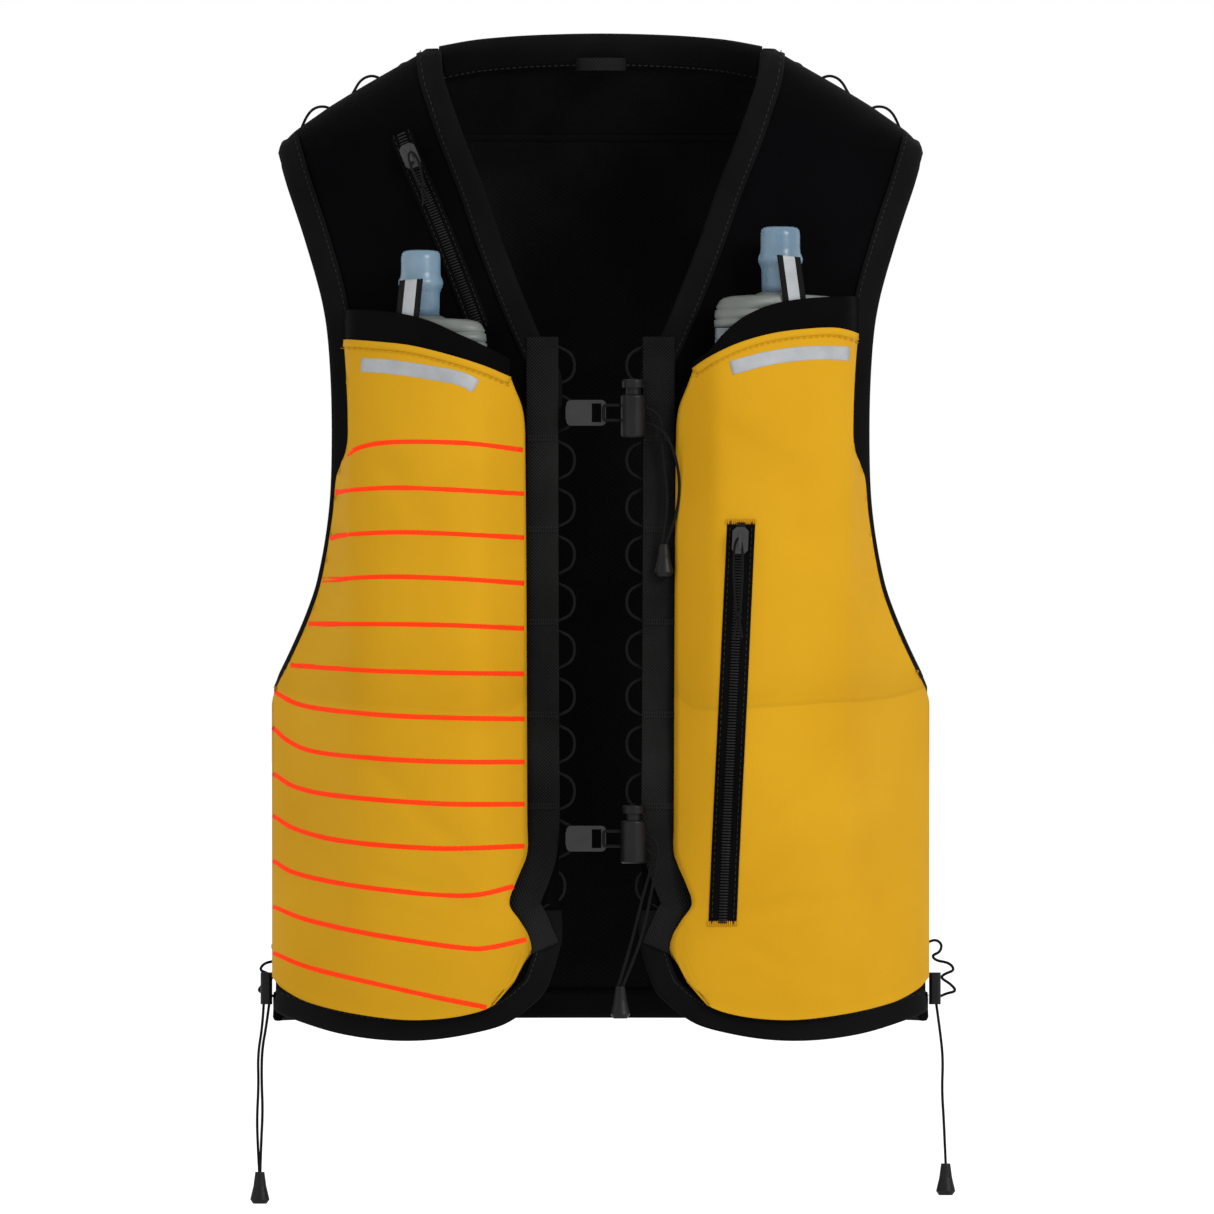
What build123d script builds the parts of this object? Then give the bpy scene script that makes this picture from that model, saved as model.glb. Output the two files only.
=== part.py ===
"""Running hydration vest, sleeveless, with two chest flask pockets and two hook-and-cord closures.

Millimetres, +Z up, the front faces -Y. The origin lies between the shoulders, level with the points
that carry the vest. Right and left are the wearer's: right is -X, left is +X.
"""

import os
from functools import lru_cache
from math import cos, pi, radians, sin, sqrt, tan

from build123d import *

RIGHT, LEFT = -1, 1
SIDE_NAME = {RIGHT: "right", LEFT: "left"}

# Body form: height, half width and half depth of the oval that the cloth lies on.
CHEST_HALF_WIDTH = 151.0
CHEST_HALF_DEPTH = 92.0
CHEST_TOP_Z = -100.0
FORM_BOTTOM_Z = -448.0
SHOULDER_TIP_Z = -19.0
SHOULDER_SECTIONS = ((-19.0, CHEST_HALF_WIDTH - 2.0, 70.0), (0.0, 119.0, 58.0), (10.0, 102.0, 50.0),
                     (24.0, 77.0, 36.0), (36.0, 72.0, 33.0))
SHOULDER_RISE = 0.8
SEAM_GAP = 0.6
REACH = 190.0

# Cloth and tape thicknesses, and the clearance between layers.
PANEL_THICKNESS = 2.0
LAYER_GAP = 0.25
WEBBING_THICKNESS = 1.5
BINDING_THICKNESS = 1.2
BINDING_WIDTH = 10.5
POCKET_CLOTH = 1.6
REAR_POCKET_THICKNESS = 3.5

# Outline of one front, seen from the front: distance from the middle, height.
FRONT_EDGE_X = 19.5
SIDE_X = CHEST_HALF_WIDTH + 5.0
HEM_SIDE_Z = -427.0
ARMHOLE_FOOT_Z = -283.0
NECK_EDGE = ((76.5, 22.0), (71.0, -3.0), (56.0, -42.0), (35.0, -99.0), (FRONT_EDGE_X, -131.0))
HEM_EDGE = ((FRONT_EDGE_X, -392.0), (27.0, -417.0), (50.0, -434.0), (85.0, -440.0), (120.0, -437.0),
            (SIDE_X, HEM_SIDE_Z))
ARMHOLE_EDGE = ((SIDE_X, ARMHOLE_FOOT_Z), (SIDE_X - 8.5, -266.0), (SIDE_X - 24.0, -226.0),
                (SIDE_X - 31.0, -165.0), (SIDE_X - 27.0, -97.0), (SIDE_X - 17.0, -61.0),
                (SIDE_X - 3.5, SHOULDER_TIP_Z))
OUTLINE_TOP_Z = 26.0

# Back.
BACK_HEM_Z = -432.0
YOKE_SEAM_Z = -16.0
COLLAR_EDGE = ((-76.5, 23.0), (-56.0, 26.8), (0.0, 29.6), (56.0, 26.8), (76.5, 23.0))
COLLAR_BAND = 13.0
REAR_POCKET_HALF_WIDTH = 112.0
REAR_POCKET_TOP_Z = -215.0
REAR_POCKET_FOOT_Z = -415.0

# Webbing ladder down each front edge.
WEBBING_WIDTH = 15.0
WEBBING_TOP_Z = -113.0
WEBBING_BEND_Z = -352.0
WEBBING_ELBOW_Z = -377.0
WEBBING_ELBOW_OUT = 7.5
WEBBING_FOOT_Z = -398.0
LOOP_CORD = 1.3
LOOP_TOP_Z = -147.6
LOOP_PITCH = 22.1
LOOP_COUNT = 10
LOOP_HEIGHT = 14.0
LOOP_REACH = 6.6

# Soft flask with a screw cap and a bite valve.
FLASK_HALF_WIDTH = 34.0
FLASK_HALF_DEPTH = 14.0
FLASK_LENGTH = 200.0
FLASK_SHOULDER = 3.0
FLASK_ROUND = 8.0
FLASK_NECK_RADIUS = 11.5
FLASK_NECK_HEIGHT = 4.0
CAP_RADIUS = 13.2
CAP_HEIGHT = 6.5
CAP_RIBS = 24
CAP_RIB_DEPTH = 0.6
CAP_RIB_WIDTH = 1.6
CAP_RIM = 2.0
THREAD_CLEARANCE = 0.3
SPOUT_RADIUS = 5.0
SPOUT_HEIGHT = 16.0
VALVE_RADIUS = 9.2
VALVE_BULGE_RADIUS = 11.0
VALVE_HEIGHT = 31.0
VALVE_CLEARANCE = 0.1
VALVE_STEPS = ((0.0, VALVE_RADIUS), (9.0, VALVE_RADIUS), (13.0, VALVE_BULGE_RADIUS), (17.0, VALVE_RADIUS),
               (VALVE_HEIGHT, VALVE_RADIUS - 0.8))
FLASK_TOP_Z = {RIGHT: -71.5, LEFT: -60.5}
TAB_WIDTH = 12.0
TAB_THICKNESS = 0.8
TAB_HEIGHT = 34.0
TAB_TOP_DROP = 14.0

# Flask pocket: an oval sleeve leaning round the chest.
POCKET_X = 84.0
POCKET_LEAN = 24.0
POCKET_HALF_WIDTH = FLASK_HALF_WIDTH + 3.3
POCKET_HALF_DEPTH = FLASK_HALF_DEPTH + 3.2
POCKET_CENTRE_Y = -CHEST_HALF_DEPTH - FLASK_HALF_DEPTH + 9.0
POCKET_FOOT_Z = -396.0
POCKET_TOP = ((SIDE_X - 34.0, -112.0), (100.0, -113.0), (84.0, -116.0), (64.0, -122.0), (43.0, -130.0))
POCKET_BAND_HEIGHT = 12.0
POCKET_INNER_GAP = 1.0
POCKET_HEM_MARGIN = 11.0
POCKET_ARMHOLE_MARGIN = 2.0
POCKET_SIDE_Z = -177.0
POCKET_NEAR_TOP_Z = -146.0
POCKET_HEM_INSET = 1.0

# Chest pocket zip on the left front.
ZIP_TAPE_WIDTH = 13.0
ZIP_TAPE_THICKNESS = 1.0
CHEST_ZIP_TOP = (65.5, -199.0)
CHEST_ZIP_FOOT = (57.0, -385.0)
SLIDER_LENGTH = 12.5
SLIDER_WIDTH = 7.5
SLIDER_HEIGHT = 3.6
SLIDER_CLEARANCE = 0.3
BRIDGE_HEIGHT = 2.6
BRIDGE_WIRE = 1.4
BRIDGE_SHARE = 0.62
SLIDER_CHAMFER = 1.8
CHEST_SLIDER_LIFT = 0.5
CHEST_SLIDER_DROP = 2.0

# Hanging loop inside the collar, and elastic arches laced behind the shoulders.
HANG_LOOP_STRAP = 1.0
HANG_LOOP_HALF_SPAN = 11.0
HANG_LOOP_BOW = 7.0
HANG_LOOP_HEIGHT = 6.0
HANG_LOOP_Z = 15.0
HANG_LOOP_STANDOFF = 2.5
SHOULDER_ARCH_Y = 3.5
SHOULDER_ARCHES = (((92.0, 20.5), (101.0, 22.0), (106.0, 15.5)), ((109.0, 15.0), (119.0, 14.5), (124.0, 5.5)),
                   ((128.0, 3.5), (137.0, 0.5), (141.5, -8.0)))

# Zip pulls: a cord loop through the slider's bridge, closed by a knot, with two short tails.
PULL_LENGTH = {"chest": 34.0, "shoulder": 14.0}
PULL_CORD = 1.1
PULL_BEND = 1.0
PULL_HALF_WIDTH = 2.0
PULL_HALF_NECK = 0.75
PULL_RISE = 1.2
PULL_KNOT_RADIUS = 2.0
PULL_KNOT_DROP = 1.6
PULL_TAIL = 9.0
PULL_TAIL_DROP = 7.5
PULL_TAIL_X = 1.1
PULL_TAIL_LEAN = 8.0

# Shoulder zip on the right front.
SHOULDER_ZIP_TOP = (93.0, -18.0)
SHOULDER_ZIP_FOOT = (52.0, -116.0)
SHOULDER_ZIP_WIDTH = 11.0
SHOULDER_SLIDER_Z = -28.0
SHOULDER_SLIDER_END_Z = -82.0
SHOULDER_SLIDER_LIFT = 1.1

# Closures: a hook on two elastic strands that run through a sprung cord lock.
CLOSURE_LOOP = {"upper": 0, "lower": 9}
CLOSURE_Y = -CHEST_HALF_DEPTH - 8.5
STRAND = 1.4
STRAND_SPACING = 7.0
HOOK_WIDTH = 18.5
HOOK_HEIGHT = 12.0
HOOK_THICKNESS = 2.2
HOOK_END_X = 2.5
PRONG_WIDTH = 2.0
PRONG_HEIGHT = 6.0
PRONG_CLEARANCE = 0.8
HOOK_EYE_WALL = 1.6
HOOK_EYE_WIDTH = 4.4
HOOK_CORNER = 2.2
HOOK_CORD_GAP = 0.6
PRONG_BEYOND = 1.2
STRAND_BEYOND = 0.6
LOCK_X = 15.4
LOCK_RADIUS = 6.0
LOCK_HEIGHT = 20.0
LOCK_FLOOR = 1.6
LOCK_ROUND = 1.2
LOCK_BELOW_STRANDS = 8.0
PLUNGER_RADIUS = 3.6
PLUNGER_CLEARANCE = 0.1
PLUNGER_LENGTH = 13.5
PLUNGER_TRAVEL = 3.0
PLUNGER_HEAD_HEIGHT = 4.0
PLUNGER_HEAD_GAP = 0.3
PLUNGER_HEAD_IN = 0.6
STRAND_CLEARANCE = 0.3
SPRING_WIRE = 0.5
SPRING_TURNS = 4
SPRING_IN = 1.0

# Cord ends.
TOGGLE_LENGTH = 15.0
TOGGLE_TOP_RADIUS = 2.2
TOGGLE_FOOT_RADIUS = 4.6
TOGGLE_WAIST_SHARE = 0.45
TOGGLE_WAIST_RADIUS = 3.1
TOGGLE_LIP = 2.0
TOGGLE_LIP_RADIUS = 3.2
TOGGLE_FLATNESS = 0.72
TOGGLE_TOP = {"upper_tail": (29.6, CLOSURE_Y + 0.5, -209.0), "lower_tail": (9.2, CLOSURE_Y, -415.5),
              "right_adjuster": (-SIDE_X - 4.6, 7.0, -504.5), "left_adjuster": (SIDE_X + 6.6, 7.0, -500.5)}
ADJUSTER_LOCK_ROUND = 1.6
ADJUSTER_CORD = 1.3
ADJUSTER_Y = 7.0
ADJUSTER_LOCK = (5.5, 9.0, 15.0)
ADJUSTER_LOCK_X = SIDE_X + 1.5
ADJUSTER_LOCK_Z = -418.0

# How much of a straight run each rounded bend of a free cord may take up.
CORD_BEND_SHARE = 0.45

# Routes of the free cords, from the exit to the middle of the far end's top face. The tails' depths
# are measured from the closures' depth, and the adjusters' distances out from the side seam.
UPPER_TAIL_FRONT = (
    (22.0, 0.0, -145.5), (26.6, -0.5, -147.5), (28.6, -0.5, -152.5),
    (28.7, 0.0, -160.5), (29.4, 0.5, -171.0), (31.2, 0.7, -184.0),
    (31.0, 0.7, -197.0), (28.6, 0.5, -209.0),
)
UPPER_TAIL_REAR = (
    (22.0, 0.0, -152.5), (26.4, -1.9, -153.6), (31.4, -2.9, -158.8),
    (35.4, -2.5, -169.0), (37.0, -1.5, -180.5), (36.2, -0.5, -191.5),
    (33.6, 0.1, -201.0), (30.6, 0.5, -209.0),
)
LOWER_TAIL_FRONT = (
    (22.0, 0.0, -344.4), (25.8, -0.7, -346.8), (27.0, -0.9, -352.5),
    (25.8, -0.7, -361.0), (23.4, -0.3, -373.0), (20.4, -0.1, -388.0),
    (16.0, 0.0, -402.0), (10.2, 0.0, -415.5),
)
LOWER_TAIL_REAR = (
    (22.0, 0.0, -351.4), (24.4, 0.9, -354.2), (23.6, 1.3, -360.5),
    (20.4, 1.1, -371.0), (17.2, 0.7, -384.0), (13.4, 0.3, -399.0),
    (8.2, 0.0, -415.5),
)
RIGHT_ADJUSTER_FRONT = (
    (-0.2, 5.4, -425.5), (-1.4, 5.2, -435.0), (-3.6, 5.4, -447.0),
    (-3.8, 5.9, -461.0), (-3.2, 6.2, -476.0), (-4.0, 6.3, -491.0),
    (-4.4, 6.3, -504.5),
)
RIGHT_ADJUSTER_REAR = (
    (-2.8, 8.6, -425.5), (-3.4, 9.2, -436.0), (-5.6, 9.0, -449.0),
    (-5.2, 8.4, -464.0), (-6.0, 7.9, -479.0), (-5.6, 7.7, -492.0),
    (-4.9, 7.7, -504.5),
)
LEFT_ADJUSTER_CORD = (
    (2.2, 7.0, -425.5), (3.8, 6.6, -437.0), (5.4, 6.6, -451.0),
    (4.8, 7.0, -466.0), (5.8, 7.2, -481.0), (6.6, 7.0, -500.5),
)

PANEL_OUT = PANEL_THICKNESS
LAYER_IN = PANEL_OUT + LAYER_GAP
POCKET_OUT = LAYER_IN + POCKET_CLOTH

os.makedirs("parts", exist_ok=True)


def save(shape, name):
    export_step(shape, f"parts/{name}.step")


@lru_cache(maxsize=None)
def form(offset):
    """The body oval from hem to collar, grown by an offset."""
    sections = []
    for z in (FORM_BOTTOM_Z, CHEST_TOP_Z):
        sections.append(Pos(0, 0, z) * Ellipse(CHEST_HALF_WIDTH + offset, CHEST_HALF_DEPTH + offset))
    for z, half_width, half_depth in SHOULDER_SECTIONS:
        oval = Ellipse(half_width + offset, half_depth + offset)
        sections.append(Pos(0, 0, z + SHOULDER_RISE * offset) * oval)
    return loft(sections, ruled=True)


@lru_cache(maxsize=None)
def layer(inner, outer):
    return form(outer) - form(inner)


def form_y(x, z, offset):
    """Depth of the front of the form at a point seen from the front."""
    stations = [(CHEST_TOP_Z, CHEST_HALF_WIDTH, CHEST_HALF_DEPTH), *SHOULDER_SECTIONS]
    half_width, half_depth = CHEST_HALF_WIDTH, CHEST_HALF_DEPTH
    for (z0, a0, b0), (z1, a1, b1) in zip(stations, stations[1:]):
        if z0 <= z <= z1:
            share = (z - z0) / (z1 - z0)
            half_width = a0 + share * (a1 - a0)
            half_depth = b0 + share * (b1 - b0)
    return -(half_depth + offset) * sqrt(1 - (x / (half_width + offset)) ** 2)


def outline(stretches, side=LEFT):
    """A closed face in the XZ plane from runs of points: two make a line, more make a curve."""
    edges = []
    for run in stretches:
        points = [(side * x, 0, z) for x, z in run]
        edges.append(Line(*points) if len(points) == 2 else Spline(*points))
    return make_face(edges)


def front_prism(face):
    return Pos(0, -SEAM_GAP / 2, 0) * extrude(face, REACH, dir=(0, -1, 0))


def back_prism(face):
    return Pos(0, SEAM_GAP / 2, 0) * extrude(face, REACH, dir=(0, 1, 0))


def window(side, x0, x1, z0, z1):
    """A rectangle in the XZ plane on one side of the middle."""
    corners = ((x0, z0), (x1, z0), (x1, z1), (x0, z1), (x0, z0))
    return outline(tuple(zip(corners, corners[1:])), side)


def front_face(side):
    neck_x, neck_z = NECK_EDGE[0]
    tip_x, tip_z = ARMHOLE_EDGE[-1]
    return outline((NECK_EDGE, (NECK_EDGE[-1], HEM_EDGE[0]), HEM_EDGE, (HEM_EDGE[-1], ARMHOLE_EDGE[0]),
                    ARMHOLE_EDGE, ((tip_x, tip_z), (tip_x, OUTLINE_TOP_Z)),
                    ((tip_x, OUTLINE_TOP_Z), (neck_x, OUTLINE_TOP_Z)),
                    ((neck_x, OUTLINE_TOP_Z), (neck_x, neck_z))), side)


def edge_band(face, across, up):
    """The strip of an outline that its copy, moved by one binding width, leaves uncovered."""
    return face - Pos(across * BINDING_WIDTH, 0, up * BINDING_WIDTH) * face


def back_face():
    right_arm = tuple((-x, z) for x, z in ARMHOLE_EDGE)
    left_arm = ARMHOLE_EDGE
    (arm_x, arm_z), (tip_x, tip_z) = ARMHOLE_EDGE[0], ARMHOLE_EDGE[-1]
    (collar_x, collar_z) = COLLAR_EDGE[-1]
    return outline((((-arm_x, BACK_HEM_Z), (arm_x, BACK_HEM_Z)),
                    ((arm_x, BACK_HEM_Z), (arm_x, arm_z)), left_arm,
                    ((tip_x, tip_z), (tip_x, OUTLINE_TOP_Z)),
                    ((tip_x, OUTLINE_TOP_Z), (collar_x, OUTLINE_TOP_Z)),
                    ((collar_x, OUTLINE_TOP_Z), (collar_x, collar_z)), COLLAR_EDGE[::-1],
                    ((-collar_x, collar_z), (-collar_x, OUTLINE_TOP_Z)),
                    ((-collar_x, OUTLINE_TOP_Z), (-tip_x, OUTLINE_TOP_Z)),
                    ((-tip_x, OUTLINE_TOP_Z), (-tip_x, tip_z)), right_arm[::-1],
                    ((-arm_x, arm_z), (-arm_x, BACK_HEM_Z))))


def back():
    face = back_face()
    wide = SIDE_X + 10
    lower = face & window(LEFT, -wide, wide, BACK_HEM_Z - 1, YOKE_SEAM_Z - LAYER_GAP / 2)
    upper = face & window(LEFT, -wide, wide, YOKE_SEAM_Z + LAYER_GAP / 2, OUTLINE_TOP_Z)
    save(back_prism(lower) & layer(0, PANEL_OUT), "back_panel")
    save(back_prism(upper) & layer(0, PANEL_OUT), "back_yoke")

    skin = layer(LAYER_IN, LAYER_IN + BINDING_THICKNESS)
    collar_x = COLLAR_EDGE[-1][0]
    top = COLLAR_EDGE[2][1]
    collar = face & window(LEFT, -collar_x, collar_x, COLLAR_EDGE[0][1] - COLLAR_BAND, top + 1)
    save(back_prism(collar) & skin, "neck_binding")

    arms = []
    for side in (RIGHT, LEFT):
        arm = edge_band(face, -side, 0) & window(side, 100, wide, ARMHOLE_FOOT_Z, SHOULDER_TIP_Z - 1)
        arms.extend((back_prism(arm) & skin).solids())
    save(Compound(arms), "rear_armhole_bindings")
    hem = window(LEFT, -wide, wide, BACK_HEM_Z, BACK_HEM_Z + BINDING_WIDTH)
    save(back_prism(hem) & skin, "rear_hem_binding")

    half = REAR_POCKET_HALF_WIDTH
    pocket = window(LEFT, -half, half, REAR_POCKET_FOOT_Z, REAR_POCKET_TOP_Z)
    save(back_prism(pocket) & layer(LAYER_IN, LAYER_IN + REAR_POCKET_THICKNESS), "rear_pocket")
    hang_loop()
    shoulder_cords()


def hang_loop():
    """A short strap sewn inside the collar, bowed away from it so a peg passes behind."""
    z = HANG_LOOP_Z
    y = -form_y(HANG_LOOP_HALF_SPAN, z + HANG_LOOP_HEIGHT, 0) - HANG_LOOP_STANDOFF
    edges = []
    for span, bow in ((HANG_LOOP_HALF_SPAN, HANG_LOOP_BOW),
                      (HANG_LOOP_HALF_SPAN - HANG_LOOP_STRAP, HANG_LOOP_BOW - HANG_LOOP_STRAP)):
        edges.append(ThreePointArc((-span, y, z), (0, y - bow, z), (span, y, z)))
    for side in (RIGHT, LEFT):
        outer = side * HANG_LOOP_HALF_SPAN
        edges.append(Line((outer, y, z), (outer - side * HANG_LOOP_STRAP, y, z)))
    save(extrude(make_face(edges), HANG_LOOP_HEIGHT, dir=(0, 0, 1)), "hang_loop")


def shoulder_cords():
    """Elastic cord laced in three low arches along the back of each shoulder."""
    solids = []
    for side in (RIGHT, LEFT):
        for arch in SHOULDER_ARCHES:
            start, top, end = [(side * x, SHOULDER_ARCH_Y, z) for x, z in arch]
            path = ThreePointArc(start, top, end)
            profile = Plane(origin=path @ 0, z_dir=path % 0) * Circle(LOOP_CORD / 2)
            solids.extend(sweep(profile, path=path).solids())
    save(Compound(solids), "shoulder_cords")


def webbing_face(side, near, far):
    """The ladder webbing seen from the front, with its elbow near the hem."""
    return outline((((near, WEBBING_TOP_Z), (near, WEBBING_BEND_Z)),
                    ((near, WEBBING_BEND_Z), (near + WEBBING_ELBOW_OUT, WEBBING_ELBOW_Z)),
                    ((near + WEBBING_ELBOW_OUT, WEBBING_ELBOW_Z), (near, WEBBING_FOOT_Z)),
                    ((near, WEBBING_FOOT_Z), (far, WEBBING_FOOT_Z)),
                    ((far, WEBBING_FOOT_Z), (far + WEBBING_ELBOW_OUT, WEBBING_ELBOW_Z)),
                    ((far + WEBBING_ELBOW_OUT, WEBBING_ELBOW_Z), (far, WEBBING_BEND_Z)),
                    ((far, WEBBING_BEND_Z), (far, WEBBING_TOP_Z)),
                    ((far, WEBBING_TOP_Z), (near, WEBBING_TOP_Z))), side)


def loop_z(number):
    return LOOP_TOP_Z - number * LOOP_PITCH


def ladder_cord(side):
    y = form_y(FRONT_EDGE_X, LOOP_TOP_Z, PANEL_OUT / 2)
    root_x = FRONT_EDGE_X - LAYER_GAP
    solids = []
    for number in range(LOOP_COUNT):
        z = loop_z(number)
        ends = [(side * root_x, y, z + sign * LOOP_HEIGHT / 2) for sign in (1, -1)]
        path = ThreePointArc(ends[0], (side * (FRONT_EDGE_X - LOOP_REACH), y, z), ends[1])
        profile = Plane(origin=path @ 0, z_dir=path % 0) * Circle(LOOP_CORD / 2)
        solids.extend(sweep(profile, path=path).solids())
    return Compound(solids)


def pocket_oval(side, grow, z0, z1):
    """The leaning oval of the flask pocket, grown by an amount, between two heights."""
    oval = Ellipse(POCKET_HALF_WIDTH + grow, POCKET_HALF_DEPTH + grow)
    place = Pos(side * POCKET_X, POCKET_CENTRE_Y, z0) * Rot(0, 0, side * POCKET_LEAN)
    return extrude(place * oval, z1 - z0)


def pocket_y(x, grow):
    """Depth of the front of the flask pocket at a distance from the middle."""
    half_width, half_depth = POCKET_HALF_WIDTH + grow, POCKET_HALF_DEPTH + grow
    lean = radians(POCKET_LEAN)
    across = x - POCKET_X
    a = (sin(lean) / half_width) ** 2 + (cos(lean) / half_depth) ** 2
    b = 2 * across * sin(lean) * cos(lean) * (1 / half_width**2 - 1 / half_depth**2)
    c = (across * cos(lean) / half_width) ** 2 + (across * sin(lean) / half_depth) ** 2 - 1
    return POCKET_CENTRE_Y + (-b - sqrt(b * b - 4 * a * c)) / (2 * a)


def flask_foot(side):
    return FLASK_TOP_Z[side] - VALVE_HEIGHT - CAP_HEIGHT - FLASK_LENGTH


@lru_cache(maxsize=None)
def pocket_form(side):
    """Flat cloth over the front with the open flask sleeve standing out of it."""
    sleeve = pocket_oval(side, 0, POCKET_FOOT_Z, 0)
    hollow = pocket_oval(side, -POCKET_CLOTH, flask_foot(side) - LAYER_GAP, 20) - form(POCKET_OUT)
    return (form(POCKET_OUT) + sleeve) - form(LAYER_IN) - hollow


def pocket_face(side):
    near = FRONT_EDGE_X + WEBBING_WIDTH + POCKET_INNER_GAP
    elbow = near + WEBBING_ELBOW_OUT + POCKET_INNER_GAP
    top_x, top_z = POCKET_TOP[0]
    armhole = tuple((x - POCKET_ARMHOLE_MARGIN, z) for x, z in ARMHOLE_EDGE[:4])
    hem = tuple((x - POCKET_HEM_INSET, z + POCKET_HEM_MARGIN) for x, z in HEM_EDGE[2:])
    side_x = hem[-1][0]
    return outline((POCKET_TOP, (POCKET_TOP[-1], (near, POCKET_NEAR_TOP_Z)),
                    ((near, POCKET_NEAR_TOP_Z), (near, WEBBING_BEND_Z)),
                    ((near, WEBBING_BEND_Z), (elbow, WEBBING_ELBOW_Z)), ((elbow, WEBBING_ELBOW_Z), hem[0]),
                    hem, (hem[-1], (side_x, ARMHOLE_FOOT_Z)), ((side_x, ARMHOLE_FOOT_Z), armhole[0]),
                    armhole, (armhole[-1], (top_x, top_z))), side)


def beside_pocket(face, side):
    """What a face keeps clear of the pocket and its band, one layer gap away."""
    for cloth in (pocket_face(side), band_face(side)):
        for across, up in ((0, 0), (side, 0), (-side, 0), (0, -1)):
            face -= Pos(across * LAYER_GAP, 0, up * LAYER_GAP) * cloth
    return face


def band_face(side):
    lift = LAYER_GAP
    foot = tuple((x, z + lift) for x, z in POCKET_TOP)
    head = tuple((x, z + lift + POCKET_BAND_HEIGHT) for x, z in POCKET_TOP)
    return outline((foot, (foot[-1], head[-1]), head[::-1], (head[0], foot[0])), side)


def front(side):
    name = SIDE_NAME[side]
    face = front_face(side)
    save(front_prism(face) & layer(0, PANEL_OUT), f"{name}_front_panel")

    skin = layer(LAYER_IN, LAYER_IN + BINDING_THICKNESS)
    arm = edge_band(face, -side, 0) & window(side, 100, SIDE_X + 10, POCKET_SIDE_Z, SHOULDER_TIP_Z - 1)
    save(front_prism(beside_pocket(arm, side)) & skin, f"{name}_front_armhole_binding")
    neck = edge_band(face, side, 0) & window(side, 0, 100, WEBBING_TOP_Z + 2, 18)
    hem = edge_band(face, 0, 1) & window(side, 0, SIDE_X + 10, BACK_HEM_Z - 20, WEBBING_FOOT_Z - 2)
    hem = beside_pocket(hem, side)
    edging = Compound([*(front_prism(neck) & skin).solids(), *(front_prism(hem) & skin).solids()])
    save(edging, f"{name}_front_edge_binding")

    webbing = webbing_face(side, FRONT_EDGE_X, FRONT_EDGE_X + WEBBING_WIDTH)
    save(front_prism(webbing) & layer(LAYER_IN, LAYER_IN + WEBBING_THICKNESS), f"{name}_daisy_webbing")
    save(ladder_cord(side), f"{name}_ladder_cord")
    save(front_prism(pocket_face(side)) & pocket_form(side), f"{name}_pocket_shell")
    save(front_prism(band_face(side)) & pocket_form(side), f"{name}_pocket_band")
    flask(side)


def flask(side):
    """Soft bottle, screw cap, bite valve, and the tab sewn inside the pocket mouth."""
    name = SIDE_NAME[side]
    valve_top = FLASK_TOP_Z[side]
    cap_top = valve_top - VALVE_HEIGHT
    cap_foot = cap_top - CAP_HEIGHT
    place = Pos(side * POCKET_X, POCKET_CENTRE_Y, 0) * Rot(0, 0, side * POCKET_LEAN)
    sections = ((cap_foot, FLASK_NECK_RADIUS, FLASK_NECK_RADIUS),
                (cap_foot - FLASK_SHOULDER, FLASK_HALF_WIDTH, FLASK_HALF_DEPTH),
                (cap_foot - FLASK_LENGTH + FLASK_ROUND, FLASK_HALF_WIDTH, FLASK_HALF_DEPTH),
                (cap_foot - FLASK_LENGTH, FLASK_HALF_WIDTH - FLASK_ROUND, FLASK_HALF_DEPTH - FLASK_ROUND))
    bottle = loft([Pos(0, 0, z) * Ellipse(a, b + 0.01) for z, a, b in sections][::-1], ruled=True)
    neck = Pos(0, 0, cap_foot) * Cylinder(FLASK_NECK_RADIUS - 1, FLASK_NECK_HEIGHT,
                                          align=(Align.CENTER, Align.CENTER, Align.MIN))
    save(place * (bottle + neck), f"{name}_flask_body")

    upright = (Align.CENTER, Align.CENTER, Align.MIN)
    cap = Cylinder(CAP_RADIUS, CAP_HEIGHT - THREAD_CLEARANCE, align=upright)
    cap = Pos(0, 0, cap_foot + THREAD_CLEARANCE) * cap
    cap -= Pos(0, 0, cap_foot) * Cylinder(FLASK_NECK_RADIUS - 1 + THREAD_CLEARANCE,
                                          FLASK_NECK_HEIGHT + THREAD_CLEARANCE, align=upright)
    for rib in range(CAP_RIBS):
        groove = Box(2 * CAP_RIB_DEPTH, CAP_RIB_WIDTH, CAP_HEIGHT - CAP_RIM, align=upright)
        cap -= Rot(0, 0, 360 * rib / CAP_RIBS) * Pos(CAP_RADIUS, 0, cap_foot) * groove
    cap += Pos(0, 0, cap_top - 0.5) * Cylinder(SPOUT_RADIUS, SPOUT_HEIGHT + 0.5, align=upright)
    save(place * cap, f"{name}_flask_cap")

    rings = [Pos(0, 0, cap_top + VALVE_CLEARANCE + z) * Circle(radius) for z, radius in VALVE_STEPS]
    valve = loft(rings, ruled=True)
    valve -= Pos(0, 0, cap_top) * Cylinder(SPOUT_RADIUS + VALVE_CLEARANCE, SPOUT_HEIGHT + VALVE_CLEARANCE,
                                           align=upright)
    save(place * valve, f"{name}_bite_valve")

    tab_y = -(POCKET_HALF_DEPTH - POCKET_CLOTH - LAYER_GAP - TAB_THICKNESS / 2)
    tab_centre = valve_top - TAB_TOP_DROP - TAB_HEIGHT / 2
    save(place * Pos(0, tab_y, tab_centre) * Box(TAB_WIDTH, TAB_THICKNESS, TAB_HEIGHT), f"{name}_flask_tab")


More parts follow.
